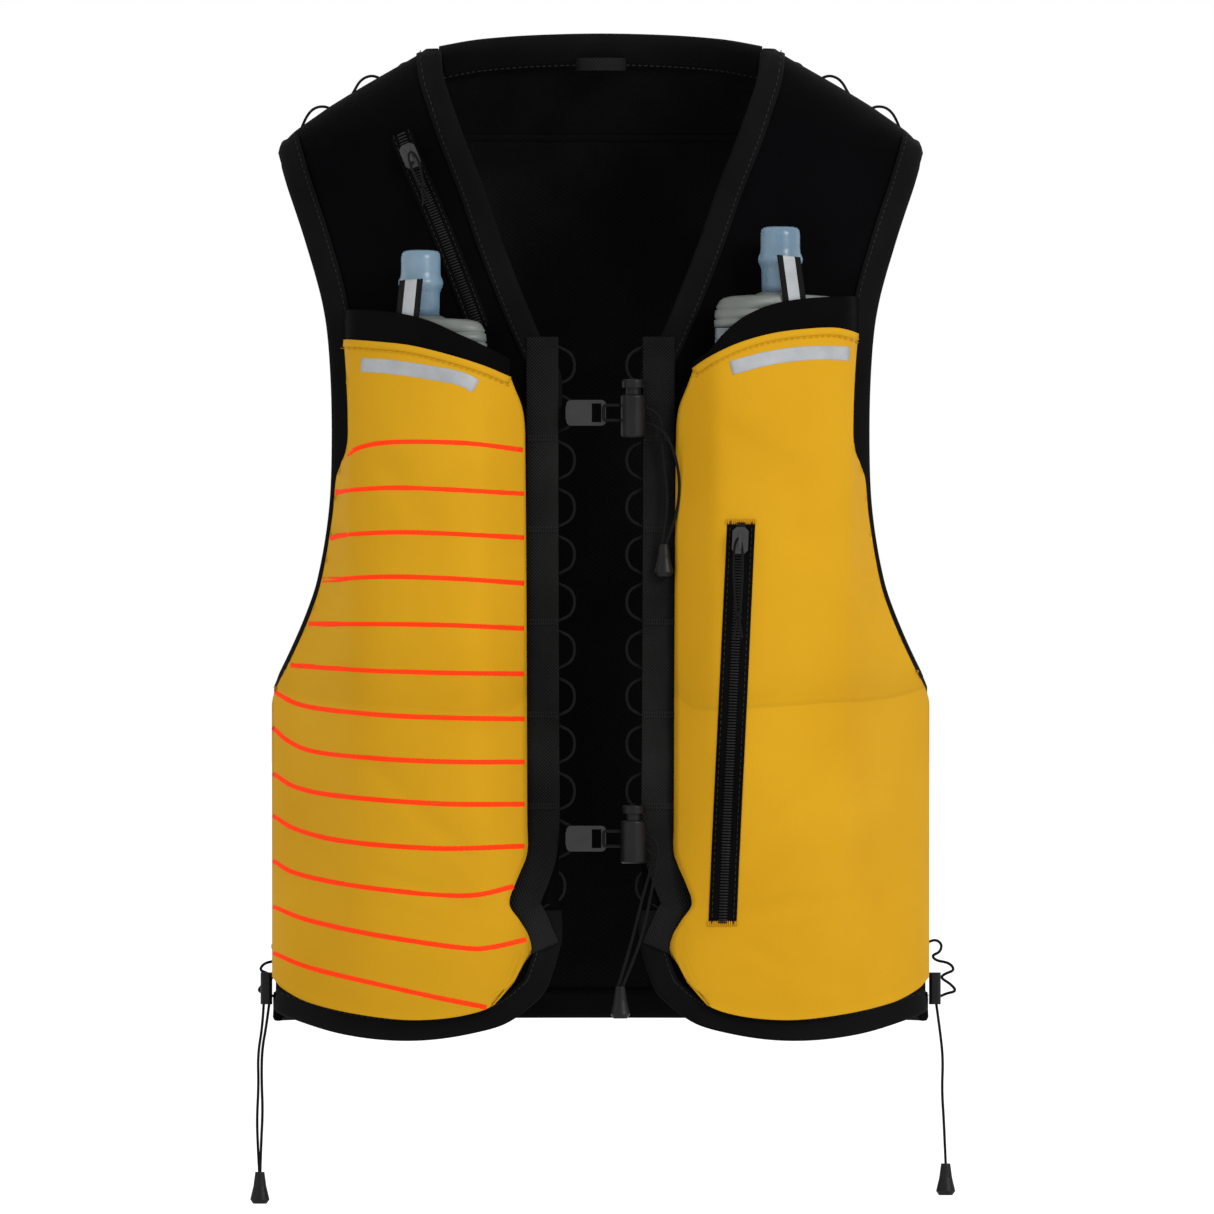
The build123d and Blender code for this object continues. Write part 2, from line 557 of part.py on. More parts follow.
def slider():
    """Zip slider body with its pull bridge; it runs along Z and its back lies at y = 0."""
    body = Pos(0, -SLIDER_HEIGHT / 2, 0) * Box(SLIDER_WIDTH, SLIDER_HEIGHT, SLIDER_LENGTH)
    body = chamfer(body.edges().filter_by(Axis.Y), SLIDER_CHAMFER)
    rise = SLIDER_HEIGHT + BRIDGE_HEIGHT
    bridge_length = SLIDER_LENGTH * BRIDGE_SHARE
    bridge = Pos(0, -rise / 2, 0) * Box(BRIDGE_WIRE, rise, bridge_length)
    gap_height = BRIDGE_HEIGHT - BRIDGE_WIRE
    gap = Pos(0, eye_y(), 0) * Box(BRIDGE_WIRE * 2, gap_height, bridge_length - 2 * BRIDGE_WIRE)
    return body + bridge - gap


def eye_y():
    """Middle of the gap under a slider's bridge, where the pull turns."""
    return -SLIDER_HEIGHT - (BRIDGE_HEIGHT - BRIDGE_WIRE) / 2


def pull_cord(length):
    """A cord loop through a bridge at the origin, closed by a knot, with two short tails."""
    y = eye_y()
    corners = [(PULL_HALF_WIDTH, y, PULL_RISE), (PULL_HALF_WIDTH, y, -length / 2),
               (PULL_HALF_NECK, y, -length)]
    path = [(-x, y, z) for x, y, z in corners[::-1]] + corners
    line = FilletPolyline(*path, radius=PULL_BEND)
    pull = sweep(Plane(origin=line @ 0, z_dir=line % 0) * Circle(PULL_CORD / 2), path=line)
    pull += Pos(0, y, -length - PULL_KNOT_DROP) * Sphere(PULL_KNOT_RADIUS)
    for side in (RIGHT, LEFT):
        tail = Rot(0, -side * PULL_TAIL_LEAN, 0) * Cylinder(PULL_CORD / 2, PULL_TAIL)
        pull += Pos(side * PULL_TAIL_X, y, -length - PULL_TAIL_DROP) * tail
    return pull


def tilt_along(start, end):
    """Where a piece drawn along Z goes to run from one point towards another."""
    along = (Vector(*end) - Vector(*start)).normalized()
    return Plane(origin=start, x_dir=Vector(0, -1, 0).cross(along), z_dir=along)


def strip_face(top, foot, width, side):
    (x0, z0), (x1, z1) = top, foot
    half = width / 2
    return outline((((x0 - half, z0), (x0 + half, z0)), ((x0 + half, z0), (x1 + half, z1)),
                    ((x1 + half, z1), (x1 - half, z1)), ((x1 - half, z1), (x0 - half, z0))), side)


def zip_slider(level, place, down):
    """A slider and its cord pull, with the line it runs along and the point its pull turns about."""
    save(place * slider(), f"{level}_zip_slider")
    save(place * pull_cord(PULL_LENGTH[level]), f"{level}_zip_pull")
    print(level, "zip slider", place.position, "axis", down.z_dir)
    print(level, "pull pivot", (place * Pos(0, eye_y(), PULL_RISE)).position)


def chest_zip():
    tape_out = LAYER_GAP + ZIP_TAPE_THICKNESS
    face = strip_face(CHEST_ZIP_TOP, CHEST_ZIP_FOOT, ZIP_TAPE_WIDTH, LEFT)
    skin = pocket_oval(LEFT, tape_out, POCKET_FOOT_Z, 0) - pocket_oval(LEFT, LAYER_GAP, POCKET_FOOT_Z, 0)
    ahead = Pos(0, POCKET_CENTRE_Y, 0) * extrude(face, REACH, dir=(0, -1, 0))
    save(ahead & skin, "chest_zip_tape")

    (x0, z0), (x1, z1) = CHEST_ZIP_TOP, CHEST_ZIP_FOOT
    lift = tape_out + SLIDER_CLEARANCE + CHEST_SLIDER_LIFT
    start = (x0, pocket_y(x0, lift), z0)
    end = (x1, pocket_y(x1, lift), z1)
    down = tilt_along(start, end)
    place = down * Pos(0, 0, SLIDER_LENGTH / 2 + CHEST_SLIDER_DROP) * Rot(180, 0, 0)
    zip_slider("chest", place, down)


def shoulder_zip():
    tape_out = LAYER_IN + ZIP_TAPE_THICKNESS
    face = strip_face(SHOULDER_ZIP_TOP, SHOULDER_ZIP_FOOT, SHOULDER_ZIP_WIDTH, RIGHT)
    clear = face & band_gap(RIGHT)
    save(front_prism(clear) & layer(LAYER_IN, tape_out), "shoulder_zip_tape")

    (x0, z0), (x1, z1) = SHOULDER_ZIP_TOP, SHOULDER_ZIP_FOOT
    ends = []
    for z in (SHOULDER_SLIDER_Z, SHOULDER_SLIDER_END_Z):
        x = x0 + (x1 - x0) * (z - z0) / (z1 - z0)
        ends.append((-x, form_y(x, z, tape_out + SLIDER_CLEARANCE + SHOULDER_SLIDER_LIFT), z))
    down = tilt_along(*ends)
    zip_slider("shoulder", down * Rot(180, 0, 0), down)


def band_gap(side):
    """The part of a front above the pocket band, where a tape may lie flat."""
    top_z = POCKET_TOP[-2][1] + POCKET_BAND_HEIGHT + 2
    return window(side, 0, SIDE_X, top_z, 0)


def cord(points, diameter, label):
    """A plain tube along straight runs joined by tangent arcs as large as the runs allow."""
    ways = [Vector(*b) - Vector(*a) for a, b in zip(points, points[1:])]
    radii = []
    for before, after in zip(ways, ways[1:]):
        shorter = min(before.length, after.length)
        radii.append(CORD_BEND_SHARE * shorter / tan(radians(before.get_angle(after)) / 2))
    line = FilletPolyline(*points, radius=radii)
    tube = sweep(Plane(origin=line @ 0, z_dir=line % 0) * Circle(diameter / 2), path=line)
    share = tube.volume / (pi * diameter**2 / 4 * line.length)
    print(label, "length", round(line.length, 1), "volume share", round(share, 4))
    save(tube, label)


def toggle(top):
    """Bell-shaped cord end hanging from a point."""
    x, y, z = top
    rings = [(0.0, TOGGLE_TOP_RADIUS), (TOGGLE_LENGTH * TOGGLE_WAIST_SHARE, TOGGLE_WAIST_RADIUS),
             (TOGGLE_LENGTH - TOGGLE_LIP, TOGGLE_FOOT_RADIUS), (TOGGLE_LENGTH, TOGGLE_LIP_RADIUS)]
    faces = [Pos(x, y, z - drop) * Ellipse(radius, radius * TOGGLE_FLATNESS) for drop, radius in rings]
    return loft(faces[::-1], ruled=True)


def closure(level):
    z = loop_z(CLOSURE_LOOP[level])
    strands = (z + STRAND_SPACING / 2, z - STRAND_SPACING / 2)

    plate_x0 = HOOK_END_X - HOOK_WIDTH
    plate_mid = (plate_x0 + HOOK_END_X) / 2
    plate = Pos(plate_mid, CLOSURE_Y, z) * Box(HOOK_WIDTH, HOOK_THICKNESS, HOOK_HEIGHT)
    plate = fillet(plate.edges().filter_by(Axis.Y), HOOK_CORNER)
    eye_height = HOOK_HEIGHT - 2 * HOOK_EYE_WALL
    cord_y = form_y(FRONT_EDGE_X, LOOP_TOP_Z, PANEL_OUT / 2)
    loop_inside = -(FRONT_EDGE_X - LOOP_REACH + LOOP_CORD / 2)
    prong_x = loop_inside - PRONG_CLEARANCE - PRONG_WIDTH / 2
    prong_depth = cord_y + LOOP_CORD / 2 + PRONG_BEYOND - CLOSURE_Y
    prong = Pos(prong_x, CLOSURE_Y + prong_depth / 2, z) * Box(PRONG_WIDTH, prong_depth, PRONG_HEIGHT)
    bridge_x0 = prong_x - PRONG_WIDTH / 2
    bridge = Box(plate_mid - bridge_x0, HOOK_THICKNESS, PRONG_HEIGHT)
    bridge = Pos((bridge_x0 + plate_mid) / 2, CLOSURE_Y, z) * bridge
    window_cut = Box(HOOK_EYE_WIDTH, HOOK_THICKNESS * 2, eye_height)
    window_cut = Pos(HOOK_END_X - HOOK_EYE_WIDTH, CLOSURE_Y, z) * window_cut
    save(plate + prong + bridge - window_cut, f"{level}_hook")

    start = HOOK_END_X + HOOK_CORD_GAP
    length = LOCK_X + LOCK_RADIUS + STRAND_BEYOND - start
    middle = start + length / 2
    tubes = []
    for strand_z in strands:
        tubes.append(Pos(middle, CLOSURE_Y, strand_z) * Rot(0, 90, 0) * Cylinder(STRAND / 2, length))
    save(Compound([solid for tube in tubes for solid in tube.solids()]), f"{level}_closure_cord")

    bore = PLUNGER_RADIUS + PLUNGER_CLEARANCE
    upright = (Align.CENTER, Align.CENTER, Align.MIN)
    foot = strands[1] - LOCK_BELOW_STRANDS
    body = Cylinder(LOCK_RADIUS, LOCK_HEIGHT, align=upright)
    body = fillet(body.edges(), LOCK_ROUND)
    body -= Pos(0, 0, LOCK_FLOOR) * Cylinder(bore, LOCK_HEIGHT, align=upright)
    hole = STRAND / 2 + STRAND_CLEARANCE
    for strand_z in strands:
        body -= Pos(0, 0, strand_z - foot) * Rot(0, 90, 0) * Cylinder(hole, 4 * LOCK_RADIUS)
    seat = Pos(LOCK_X, CLOSURE_Y, foot)
    save(seat * body, f"{level}_lock_body")

    top = LOCK_HEIGHT + PLUNGER_TRAVEL + PLUNGER_HEAD_GAP
    stem_foot = LOCK_HEIGHT - PLUNGER_LENGTH
    stem = Pos(0, 0, stem_foot) * Cylinder(PLUNGER_RADIUS, top - stem_foot, align=upright)
    for strand_z in strands:
        middle = strand_z - foot + PLUNGER_TRAVEL / 2
        slot = Pos(0, 0, middle) * Box(4 * LOCK_RADIUS, 2 * hole, 2 * hole + PLUNGER_TRAVEL)
        stem -= slot
    head = Pos(0, 0, top) * Cylinder(LOCK_RADIUS - PLUNGER_HEAD_IN, PLUNGER_HEAD_HEIGHT, align=upright)
    head = fillet(head.edges().group_by(Axis.Z)[-1], LOCK_ROUND)
    save(seat * (stem + head), f"{level}_plunger")

    room = stem_foot - LOCK_FLOOR - 2 * LAYER_GAP - SPRING_WIRE
    line = Helix(room / SPRING_TURNS, room, PLUNGER_RADIUS - SPRING_IN)
    coil = sweep(Plane(origin=line @ 0, z_dir=line % 0) * Circle(SPRING_WIRE / 2), path=line, is_frenet=True)
    save(seat * Pos(0, 0, LOCK_FLOOR + LAYER_GAP + SPRING_WIRE / 2) * coil, f"{level}_spring")
    print(level, "lock foot", foot, "spring foot", foot + LOCK_FLOOR + LAYER_GAP)


def adjuster(side):
    """Cord lock and cord of the hem adjuster at a side seam."""
    name = SIDE_NAME[side]
    wide, deep, tall = ADJUSTER_LOCK
    block = Pos(side * ADJUSTER_LOCK_X, ADJUSTER_Y, ADJUSTER_LOCK_Z) * Box(wide, deep, tall)
    save(fillet(block.edges().filter_by(Axis.Z), ADJUSTER_LOCK_ROUND), f"{name}_adjuster_lock")


def moved(points, x, y):
    return [(point[0] + x, point[1] + y, point[2]) for point in points]


def cords():
    cord(moved(UPPER_TAIL_FRONT, 0, CLOSURE_Y), STRAND, "upper_tail_front")
    cord(moved(UPPER_TAIL_REAR, 0, CLOSURE_Y), STRAND, "upper_tail_rear")
    cord(moved(LOWER_TAIL_FRONT, 0, CLOSURE_Y), STRAND, "lower_tail_front")
    cord(moved(LOWER_TAIL_REAR, 0, CLOSURE_Y), STRAND, "lower_tail_rear")
    cord(moved(RIGHT_ADJUSTER_FRONT, -SIDE_X, 0), ADJUSTER_CORD, "right_adjuster_cord_front")
    cord(moved(RIGHT_ADJUSTER_REAR, -SIDE_X, 0), ADJUSTER_CORD, "right_adjuster_cord_rear")
    cord(moved(LEFT_ADJUSTER_CORD, SIDE_X, 0), ADJUSTER_CORD, "left_adjuster_cord")
    for label, top in TOGGLE_TOP.items():
        save(toggle(top), f"{label}_toggle")


back()
for front_side in (RIGHT, LEFT):
    front(front_side)
    adjuster(front_side)
chest_zip()
shoulder_zip()
for closure_level in CLOSURE_LOOP:
    closure(closure_level)
cords()
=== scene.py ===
import math
from functools import lru_cache

import bpy
import numpy as np
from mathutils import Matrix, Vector, noise


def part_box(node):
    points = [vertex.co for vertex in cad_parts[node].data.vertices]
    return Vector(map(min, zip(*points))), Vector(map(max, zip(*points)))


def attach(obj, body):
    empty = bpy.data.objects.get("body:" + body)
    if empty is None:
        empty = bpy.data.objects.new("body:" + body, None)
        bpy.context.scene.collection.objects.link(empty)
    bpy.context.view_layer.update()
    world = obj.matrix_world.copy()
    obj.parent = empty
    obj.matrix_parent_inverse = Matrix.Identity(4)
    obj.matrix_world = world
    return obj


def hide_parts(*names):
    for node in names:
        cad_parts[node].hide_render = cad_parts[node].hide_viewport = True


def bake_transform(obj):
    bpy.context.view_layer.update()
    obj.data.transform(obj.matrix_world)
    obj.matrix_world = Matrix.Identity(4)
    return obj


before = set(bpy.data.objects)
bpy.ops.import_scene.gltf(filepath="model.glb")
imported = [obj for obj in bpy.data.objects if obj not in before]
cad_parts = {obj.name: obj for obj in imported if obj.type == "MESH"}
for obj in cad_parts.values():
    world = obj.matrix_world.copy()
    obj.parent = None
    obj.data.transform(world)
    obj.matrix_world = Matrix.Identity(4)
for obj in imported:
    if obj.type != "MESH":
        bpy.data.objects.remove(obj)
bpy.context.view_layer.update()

# Lengths below are millimetres in the row frame; meshes are written in metres. Right is -X, left is +X.
MM = 0.001
RIGHT, LEFT = -1, 1
SIDE_NAME = {RIGHT: "right", LEFT: "left"}

# ---------------------------------------------------------------- camera, light and stage
VIEW_WIDTH = 570.6
VIEW_CENTRE = (3.0, -238.3)
CAMERA_Y = -12000.0
FOCUS_Y = -25.0
SENSOR = 36.0
CLIP_END = 50.0
FLOOR_Z = -545.0
# Places, sizes and reaches of the studio are metres.
LIGHT_AIM = (0, 0, -0.22)
FLOOR_REACH = 40.0
FLOOR_SIDES = 64
FLOOR_GREY = 0.3
FLOOR_GLOW = 0.78


def set_camera():
    data = bpy.data.cameras.new("camera")
    data.sensor_width = SENSOR
    data.lens = SENSOR * (FOCUS_Y - CAMERA_Y) / VIEW_WIDTH
    data.clip_end = CLIP_END
    camera = bpy.data.objects.new("camera", data)
    camera.location = (VIEW_CENTRE[0] * MM, CAMERA_Y * MM, VIEW_CENTRE[1] * MM)
    camera.rotation_euler = (math.radians(90), 0, 0)
    bpy.context.scene.collection.objects.link(camera)
    bpy.context.scene.camera = camera


def area_light(name, place, size, power):
    data = bpy.data.lights.new(name, "AREA")
    data.shape = "DISK"
    data.size = size
    data.energy = power
    light = bpy.data.objects.new(name, data)
    light.location = place
    light.rotation_euler = (Vector(LIGHT_AIM) - Vector(place)).to_track_quat("-Z", "Y").to_euler()
    bpy.context.scene.collection.objects.link(light)


def set_lights():
    area_light("key_light", (1.5, -2.0, 0.9), 1.0, 36)
    area_light("fill_light", (-1.9, -1.6, 0.3), 1.8, 3)
    area_light("back_light", (0.4, 2.2, 0.9), 1.8, 12)
    world = bpy.data.worlds.new("studio")
    world.use_nodes = True
    world.node_tree.nodes["Background"].inputs["Color"].default_value = (1, 1, 1, 1)
    world.node_tree.nodes["Background"].inputs["Strength"].default_value = 1.0
    bpy.context.scene.world = world
    bpy.context.scene.view_settings.view_transform = "Standard"


def set_stage():
    """A wide pale floor that meets the white of the studio at the horizon."""
    turns = [2 * math.pi * k / FLOOR_SIDES for k in range(FLOOR_SIDES)]
    rim = [(FLOOR_REACH * math.cos(turn), FLOOR_REACH * math.sin(turn), FLOOR_Z * MM) for turn in turns]
    mesh = bpy.data.meshes.new("studio_floor")
    mesh.from_pydata(rim, [], [tuple(range(FLOOR_SIDES))])
    floor = bpy.data.objects.new("studio_floor", mesh)
    bpy.context.scene.collection.objects.link(floor)
    pale = bpy.data.materials.new("studio_white")
    pale.use_nodes = True
    shader = pale.node_tree.nodes["Principled BSDF"]
    shader.inputs["Base Color"].default_value = (FLOOR_GREY, FLOOR_GREY, FLOOR_GREY, 1)
    shader.inputs["Roughness"].default_value = 1.0
    shader.inputs["Emission Color"].default_value = (1, 1, 1, 1)
    shader.inputs["Emission Strength"].default_value = FLOOR_GLOW
    mesh.materials.append(pale)


set_camera()
set_lights()
set_stage()


# ---------------------------------------------------------------- materials
class Graph:
    """Short calls for a material's nodes; a value that is a socket is linked, any other is set."""

    def __init__(self, name, **shader):
        self.material = bpy.data.materials.new(name)
        self.material.use_nodes = True
        self.tree = self.material.node_tree
        self.shader = self.tree.nodes["Principled BSDF"]
        self.set(self.shader, shader)

    def set(self, node, values):
        for key, value in values.items():
            socket = node.inputs[key if isinstance(key, int) else key.replace("_", " ")]
            if isinstance(value, bpy.types.NodeSocket):
                self.tree.links.new(value, socket)
            else:
                socket.default_value = value

    def add(self, kind, values=None, **settings):
        node = self.tree.nodes.new(kind)
        for key, value in settings.items():
            setattr(node, key, value)
        self.set(node, values or {})
        return node

    def math(self, operation, a, b=0.0):
        return self.add("ShaderNodeMath", {0: a, 1: b}, operation=operation).outputs[0]

    def wave(self, coordinate, pitch):
        """A sine along a coordinate in metres, from -1 to 1, of a pitch in millimetres."""
        return self.math("SINE", self.math("MULTIPLY", coordinate, 2 * math.pi / (pitch * MM)))

    def cloth_axes(self):
        source = self.add("ShaderNodeAttribute", attribute_name="weave").outputs["Vector"]
        split = self.add("ShaderNodeSeparateXYZ", {"Vector": source})
        return split.outputs["X"], split.outputs["Y"]

    def place(self):
        return self.add("ShaderNodeTexCoord").outputs["Object"]

    def noise(self, scale):
        values = {"Scale": scale, "Detail": 3.0, "Vector": self.place()}
        return self.add("ShaderNodeTexNoise", values).outputs["Fac"]

    def mix(self, share, low, high):
        node = self.add("ShaderNodeMix", data_type="RGBA")
        self.set(node, {"Factor": share})
        for socket, value in ((node.inputs[6], low), (node.inputs[7], high)):
            socket.default_value = (*value, 1)
        return node.outputs[2]

    def remap(self, value, low, high, to_low, to_high):
        values = {"Value": value, "From Min": low, "From Max": high, "To Min": to_low, "To Max": to_high}
        return self.add("ShaderNodeMapRange", values).outputs[0]

    def bump(self, height, depth):
        values = {"Height": height, "Distance": depth * MM, "Strength": 1.0}
        self.set(self.shader, {"Normal": self.add("ShaderNodeBump", values).outputs["Normal"]})


def fabric(name, dark, light, pitch, depth, style="plain", roughness=0.85, gloss=0.02, mottle=22.0):
    """Cloth with a woven or knitted surface: colour is painted lighter on raised threads and darker in gaps
    and holes (painted shade), mixed with random mottling.
    """
    graph = Graph(name, Roughness=roughness)
    graph.shader.inputs["Specular IOR Level"].default_value = gloss
    u, v = graph.cloth_axes()
    across, along = graph.wave(u, pitch), graph.wave(v, pitch)
    if style == "plain":
        height = graph.math("MULTIPLY", across, along)
    elif style == "rib":
        height = graph.math("ADD", graph.math("ABSOLUTE", across), graph.math("MULTIPLY", along, 0.35))
    elif style == "twill":
        slant = graph.math("ADD", u, v)
        height = graph.math("ADD", graph.wave(slant, pitch), graph.math("MULTIPLY", across, 0.3))
    else:
        holes = graph.math("MULTIPLY", graph.wave(u, pitch * 4), graph.wave(v, pitch * 3))
        grain = graph.math("MULTIPLY", graph.math("MULTIPLY", across, along), 0.3)
        height = graph.math("ADD", graph.math("GREATER_THAN", 0.55, holes), grain)
    relief_and_shade = graph.remap(height, -1.0, 1.0, 0.0, 1.0)
    patch = graph.remap(graph.noise(mottle), 0.3, 0.7, 0.0, 1.0)
    # Painted shade: the weave height darkens the gaps and mesh holes and lightens the thread crowns; the
    # noise patch is real random mottling.
    share = graph.math("ADD", graph.math("MULTIPLY", relief_and_shade, 0.55), graph.math("MULTIPLY", patch, 0.45))
    graph.set(graph.shader, {"Base Color": graph.mix(share, dark, light)})
    fuzz = graph.math("ADD", relief_and_shade, graph.math("MULTIPLY", graph.noise(2400.0), 0.4))
    graph.bump(fuzz, depth)
    return graph.material


def hard(name, dark, light, roughness, grain, depth, **shader):
    """Moulded or painted surface with fine grain and slight colour and gloss variation."""
    graph = Graph(name, **{"Specular_IOR_Level": 0.5, **shader})
    patch = graph.noise(60.0)
    fine = graph.noise(grain)
    graph.set(graph.shader, {"Base Color": graph.mix(graph.remap(patch, 0.3, 0.7, 0.0, 1.0), dark, light)})
    graph.set(graph.shader, {"Roughness": graph.remap(fine, 0.3, 0.7, roughness * 0.85, roughness * 1.15)})
    graph.bump(fine, depth)
    return graph.material


def braid(name, dark, light):
    """Braided cord: two crossing slants of strands, by place, with painted shade darker between the strands
    and lighter on their crowns.
    """
    graph = Graph(name, Roughness=0.7)
    graph.shader.inputs["Specular IOR Level"].default_value = 0.05
    split = graph.add("ShaderNodeSeparateXYZ", {"Vector": graph.place()})
    x, z = split.outputs["X"], split.outputs["Z"]
    one = graph.wave(graph.math("ADD", z, x), 0.9)
    two = graph.wave(graph.math("SUBTRACT", z, x), 0.9)
    height = graph.math("MAXIMUM", one, two)
    # Painted shade: strand height sets the colour, darker in the grooves and lighter on the crowns.
    graph.set(graph.shader, {"Base Color": graph.mix(graph.remap(height, -1.0, 1.0, 0.0, 1.0), dark, light)})
    graph.bump(height, 0.12)
    return graph.material


YELLOW = fabric("yellow_cloth", (0.43, 0.215, 0.006), (0.52, 0.280, 0.011),
                0.8, 0.06, "twill", 0.75, 0.04, 14.0)
ORANGE = fabric("stripe_print", (0.90, 0.030, 0.004), (0.98, 0.050, 0.008), 0.8, 0.03, "twill", 0.7, 0.03)
YELLOW_THREAD = fabric("yellow_thread", (0.40, 0.18, 0.006), (0.55, 0.27, 0.012), 0.5, 0.05)
CLOTH = fabric("black_cloth", (0.0006, 0.0006, 0.0008), (0.0022, 0.0021, 0.0025),
               0.7, 0.05, "plain", 0.8, 0.012)
MESH = fabric("black_mesh", (0.0002, 0.0002, 0.0002), (0.0062, 0.0062, 0.0064), 0.8, 0.30, "mesh", 0.9, 0.01)
KNIT = fabric("black_knit", (0.0006, 0.0006, 0.0007), (0.0062, 0.0062, 0.0066), 1.3, 0.25, "rib", 0.9, 0.012)
BINDING = fabric("black_binding", (0.0014, 0.0014, 0.0015), (0.0056, 0.0056, 0.0060),
                 0.7, 0.10, "rib", 0.85, 0.02)
WEBBING = fabric("black_webbing", (0.0006, 0.0006, 0.0006), (0.0150, 0.0150, 0.0148),
                 1.6, 0.45, "plain", 0.7, 0.05)
ELASTIC = fabric("black_elastic", (0.0008, 0.0008, 0.0008), (0.0030, 0.0030, 0.0031),
                 0.9, 0.12, "rib", 0.8, 0.015)
TAPE = fabric("black_tape", (0.0008, 0.0008, 0.0009), (0.0036, 0.0036, 0.0038), 0.6, 0.06, "twill", 0.8, 0.02)
THREAD = fabric("black_thread", (0.008, 0.008, 0.008), (0.026, 0.026, 0.026), 0.5, 0.05)
REFLECTIVE = fabric("reflective_tape", (0.20, 0.21, 0.22), (0.36, 0.37, 0.38),
                    0.45, 0.02, "plain", 0.45, 0.3, 90.0)
CORD = braid("black_cord", (0.0012, 0.0012, 0.0012), (0.0100, 0.0100, 0.0102))
PLASTIC = hard("black_plastic", (0.0035, 0.0035, 0.0038), (0.0070, 0.0070, 0.0076), 0.38, 500.0, 0.02,
               Specular_IOR_Level=0.16)
SATIN = hard("hook_plastic", (0.010, 0.010, 0.010), (0.018, 0.018, 0.019),
             0.24, 300.0, 0.006, Specular_IOR_Level=0.3)
GUNMETAL = hard("gunmetal", (0.030, 0.030, 0.031), (0.050, 0.050, 0.052), 0.30, 300.0, 0.01, Metallic=0.8)
STEEL = hard("spring_steel", (0.50, 0.51, 0.52), (0.62, 0.63, 0.64), 0.25, 900.0, 0.01, Metallic=1.0)
CAP_GREY = hard("grey_plastic", (0.075, 0.085, 0.078), (0.115, 0.125, 0.116), 0.45, 500.0, 0.02)
FILM = hard("flask_film", (0.10, 0.125, 0.14), (0.17, 0.20, 0.22),
            0.25, 120.0, 0.25, Transmission_Weight=0.35)
VALVE = hard("valve_silicone", (0.13, 0.22, 0.30), (0.22, 0.33, 0.42), 0.30, 60.0, 0.04,
             Transmission_Weight=0.35, IOR=1.41)


# ---------------------------------------------------------------- lines and the body form
def value_at(points, at):
    """Smooth value at a position on a line through (position, value) points, positions rising."""
    places = [p[0] for p in points]
    values = [p[1] for p in points]
    at = min(max(at, places[0]), places[-1])
    i = 0
    while i < len(places) - 2 and places[i + 1] < at:
        i += 1
    slopes = []
    for k in (i, i + 1):
        a, b = max(k - 1, 0), min(k + 1, len(places) - 1)
        slopes.append((values[b] - values[a]) / (places[b] - places[a]))
    gap = places[i + 1] - places[i]
    t = (at - places[i]) / gap
    t2, t3 = t * t, t * t * t
    return ((2 * t3 - 3 * t2 + 1) * values[i] + (t3 - 2 * t2 + t) * gap * slopes[0]
            + (3 * t2 - 2 * t3) * values[i + 1] + (t3 - t2) * gap * slopes[1])


def smooth_path(points, step):
    """Even points along a smooth line through a few points of any dimension."""
    knots = [np.array(p, float) for p in points]
    dense = []
    for i in range(len(knots) - 1):
        p1, p2 = knots[i], knots[i + 1]
        p0 = knots[i - 1] if i else 2 * p1 - p2
        p3 = knots[i + 2] if i + 2 < len(knots) else 2 * p2 - p1
        for t in np.linspace(0, 1, 24, endpoint=False):
            dense.append(0.5 * (2 * p1 + (p2 - p0) * t + (2 * p0 - 5 * p1 + 4 * p2 - p3) * t**2
                                + (3 * p1 - p0 - 3 * p2 + p3) * t**3))
    dense.append(knots[-1])
    dense = np.array(dense)
    run = np.concatenate(([0], np.cumsum(np.linalg.norm(np.diff(dense, axis=0), axis=1))))
    count = max(2, int(round(run[-1] / step)) + 1)
    even = np.linspace(0, run[-1], count)
    return [tuple(np.interp(at, run, dense[:, axis]) for axis in range(dense.shape[1])) for at in even]


STATIONS = ((-450, 151, 92), (-100, 151, 92), (-19, 149, 70), (0, 119, 58),
            (10, 102, 50), (24, 77, 36), (40, 70, 32))
SHOULDER_Z = -19.0
NECK = ((-131, 19.5), (-118, 26.5), (-99, 35), (-67, 47.4), (-42, 56), (-20, 64.6), (-3, 71),
        (10, 75), (23, 76.5))
ARMHOLE = ((-283, 156), (-277, 153.6), (-265, 147.5), (-244, 138), (-226, 131.8), (-195, 126.4),
           (-165, 124.9), (-126, 125.7), (-97, 129), (-61, 139.2), (-41, 146), (-19, 152.5))
HEM = ((19.5, -394), (22, -408), (28, -418), (37, -427), (50, -434), (85, -440),
       (120, -437.5), (156, -427))
FRONT_X = 19.5
SIDE_X = 156.0
PANEL = 2.0
YELLOW_CLOTH = 1.4
BAND_CLOTH = 1.3
TAB_CLOTH = 0.7
REAR_POCKET_CLOTH = 0.8
REAR_POCKET_OUT = 3.15
LACE_RADIUS = 0.65
STRAND_RADIUS = 0.7
PULL_RADIUS = 0.55
ADJUSTER_SHIFT = 6.0


@lru_cache(maxsize=None)
def form_size(z):
    """Half width and half depth of the body form at a height, eased over a few millimetres."""
    heights = [s[0] for s in STATIONS]
    spread = np.linspace(-5, 5, 5)
    half_width = float(np.mean(np.interp(z + spread, heights, [s[1] for s in STATIONS])))
    half_depth = float(np.mean(np.interp(z + spread, heights, [s[2] for s in STATIONS])))
    return half_width, half_depth


def lift(z, offset):
    """Cloth on the slope of the shoulders stands up as well as out."""
    share = min(max((z - SHOULDER_Z) / 15.0, 0), 1)
    return 0.8 * offset * share


def on_form(x, z, offset, facing):
    """A point on the form: facing is -1 on the chest and +1 on the back."""
    half_width, half_depth = form_size(round(z, 2))
    share = min(abs(x) / (half_width + offset), 1.0)
    reach = math.copysign(min(abs(x), half_width + offset), x)
    return reach, facing * (half_depth + offset) * math.sqrt(1 - share * share), z + lift(z, offset)


def chest(side):
    def put(x, z, offset):
        return on_form(side * x, z, offset, -1)
    return put


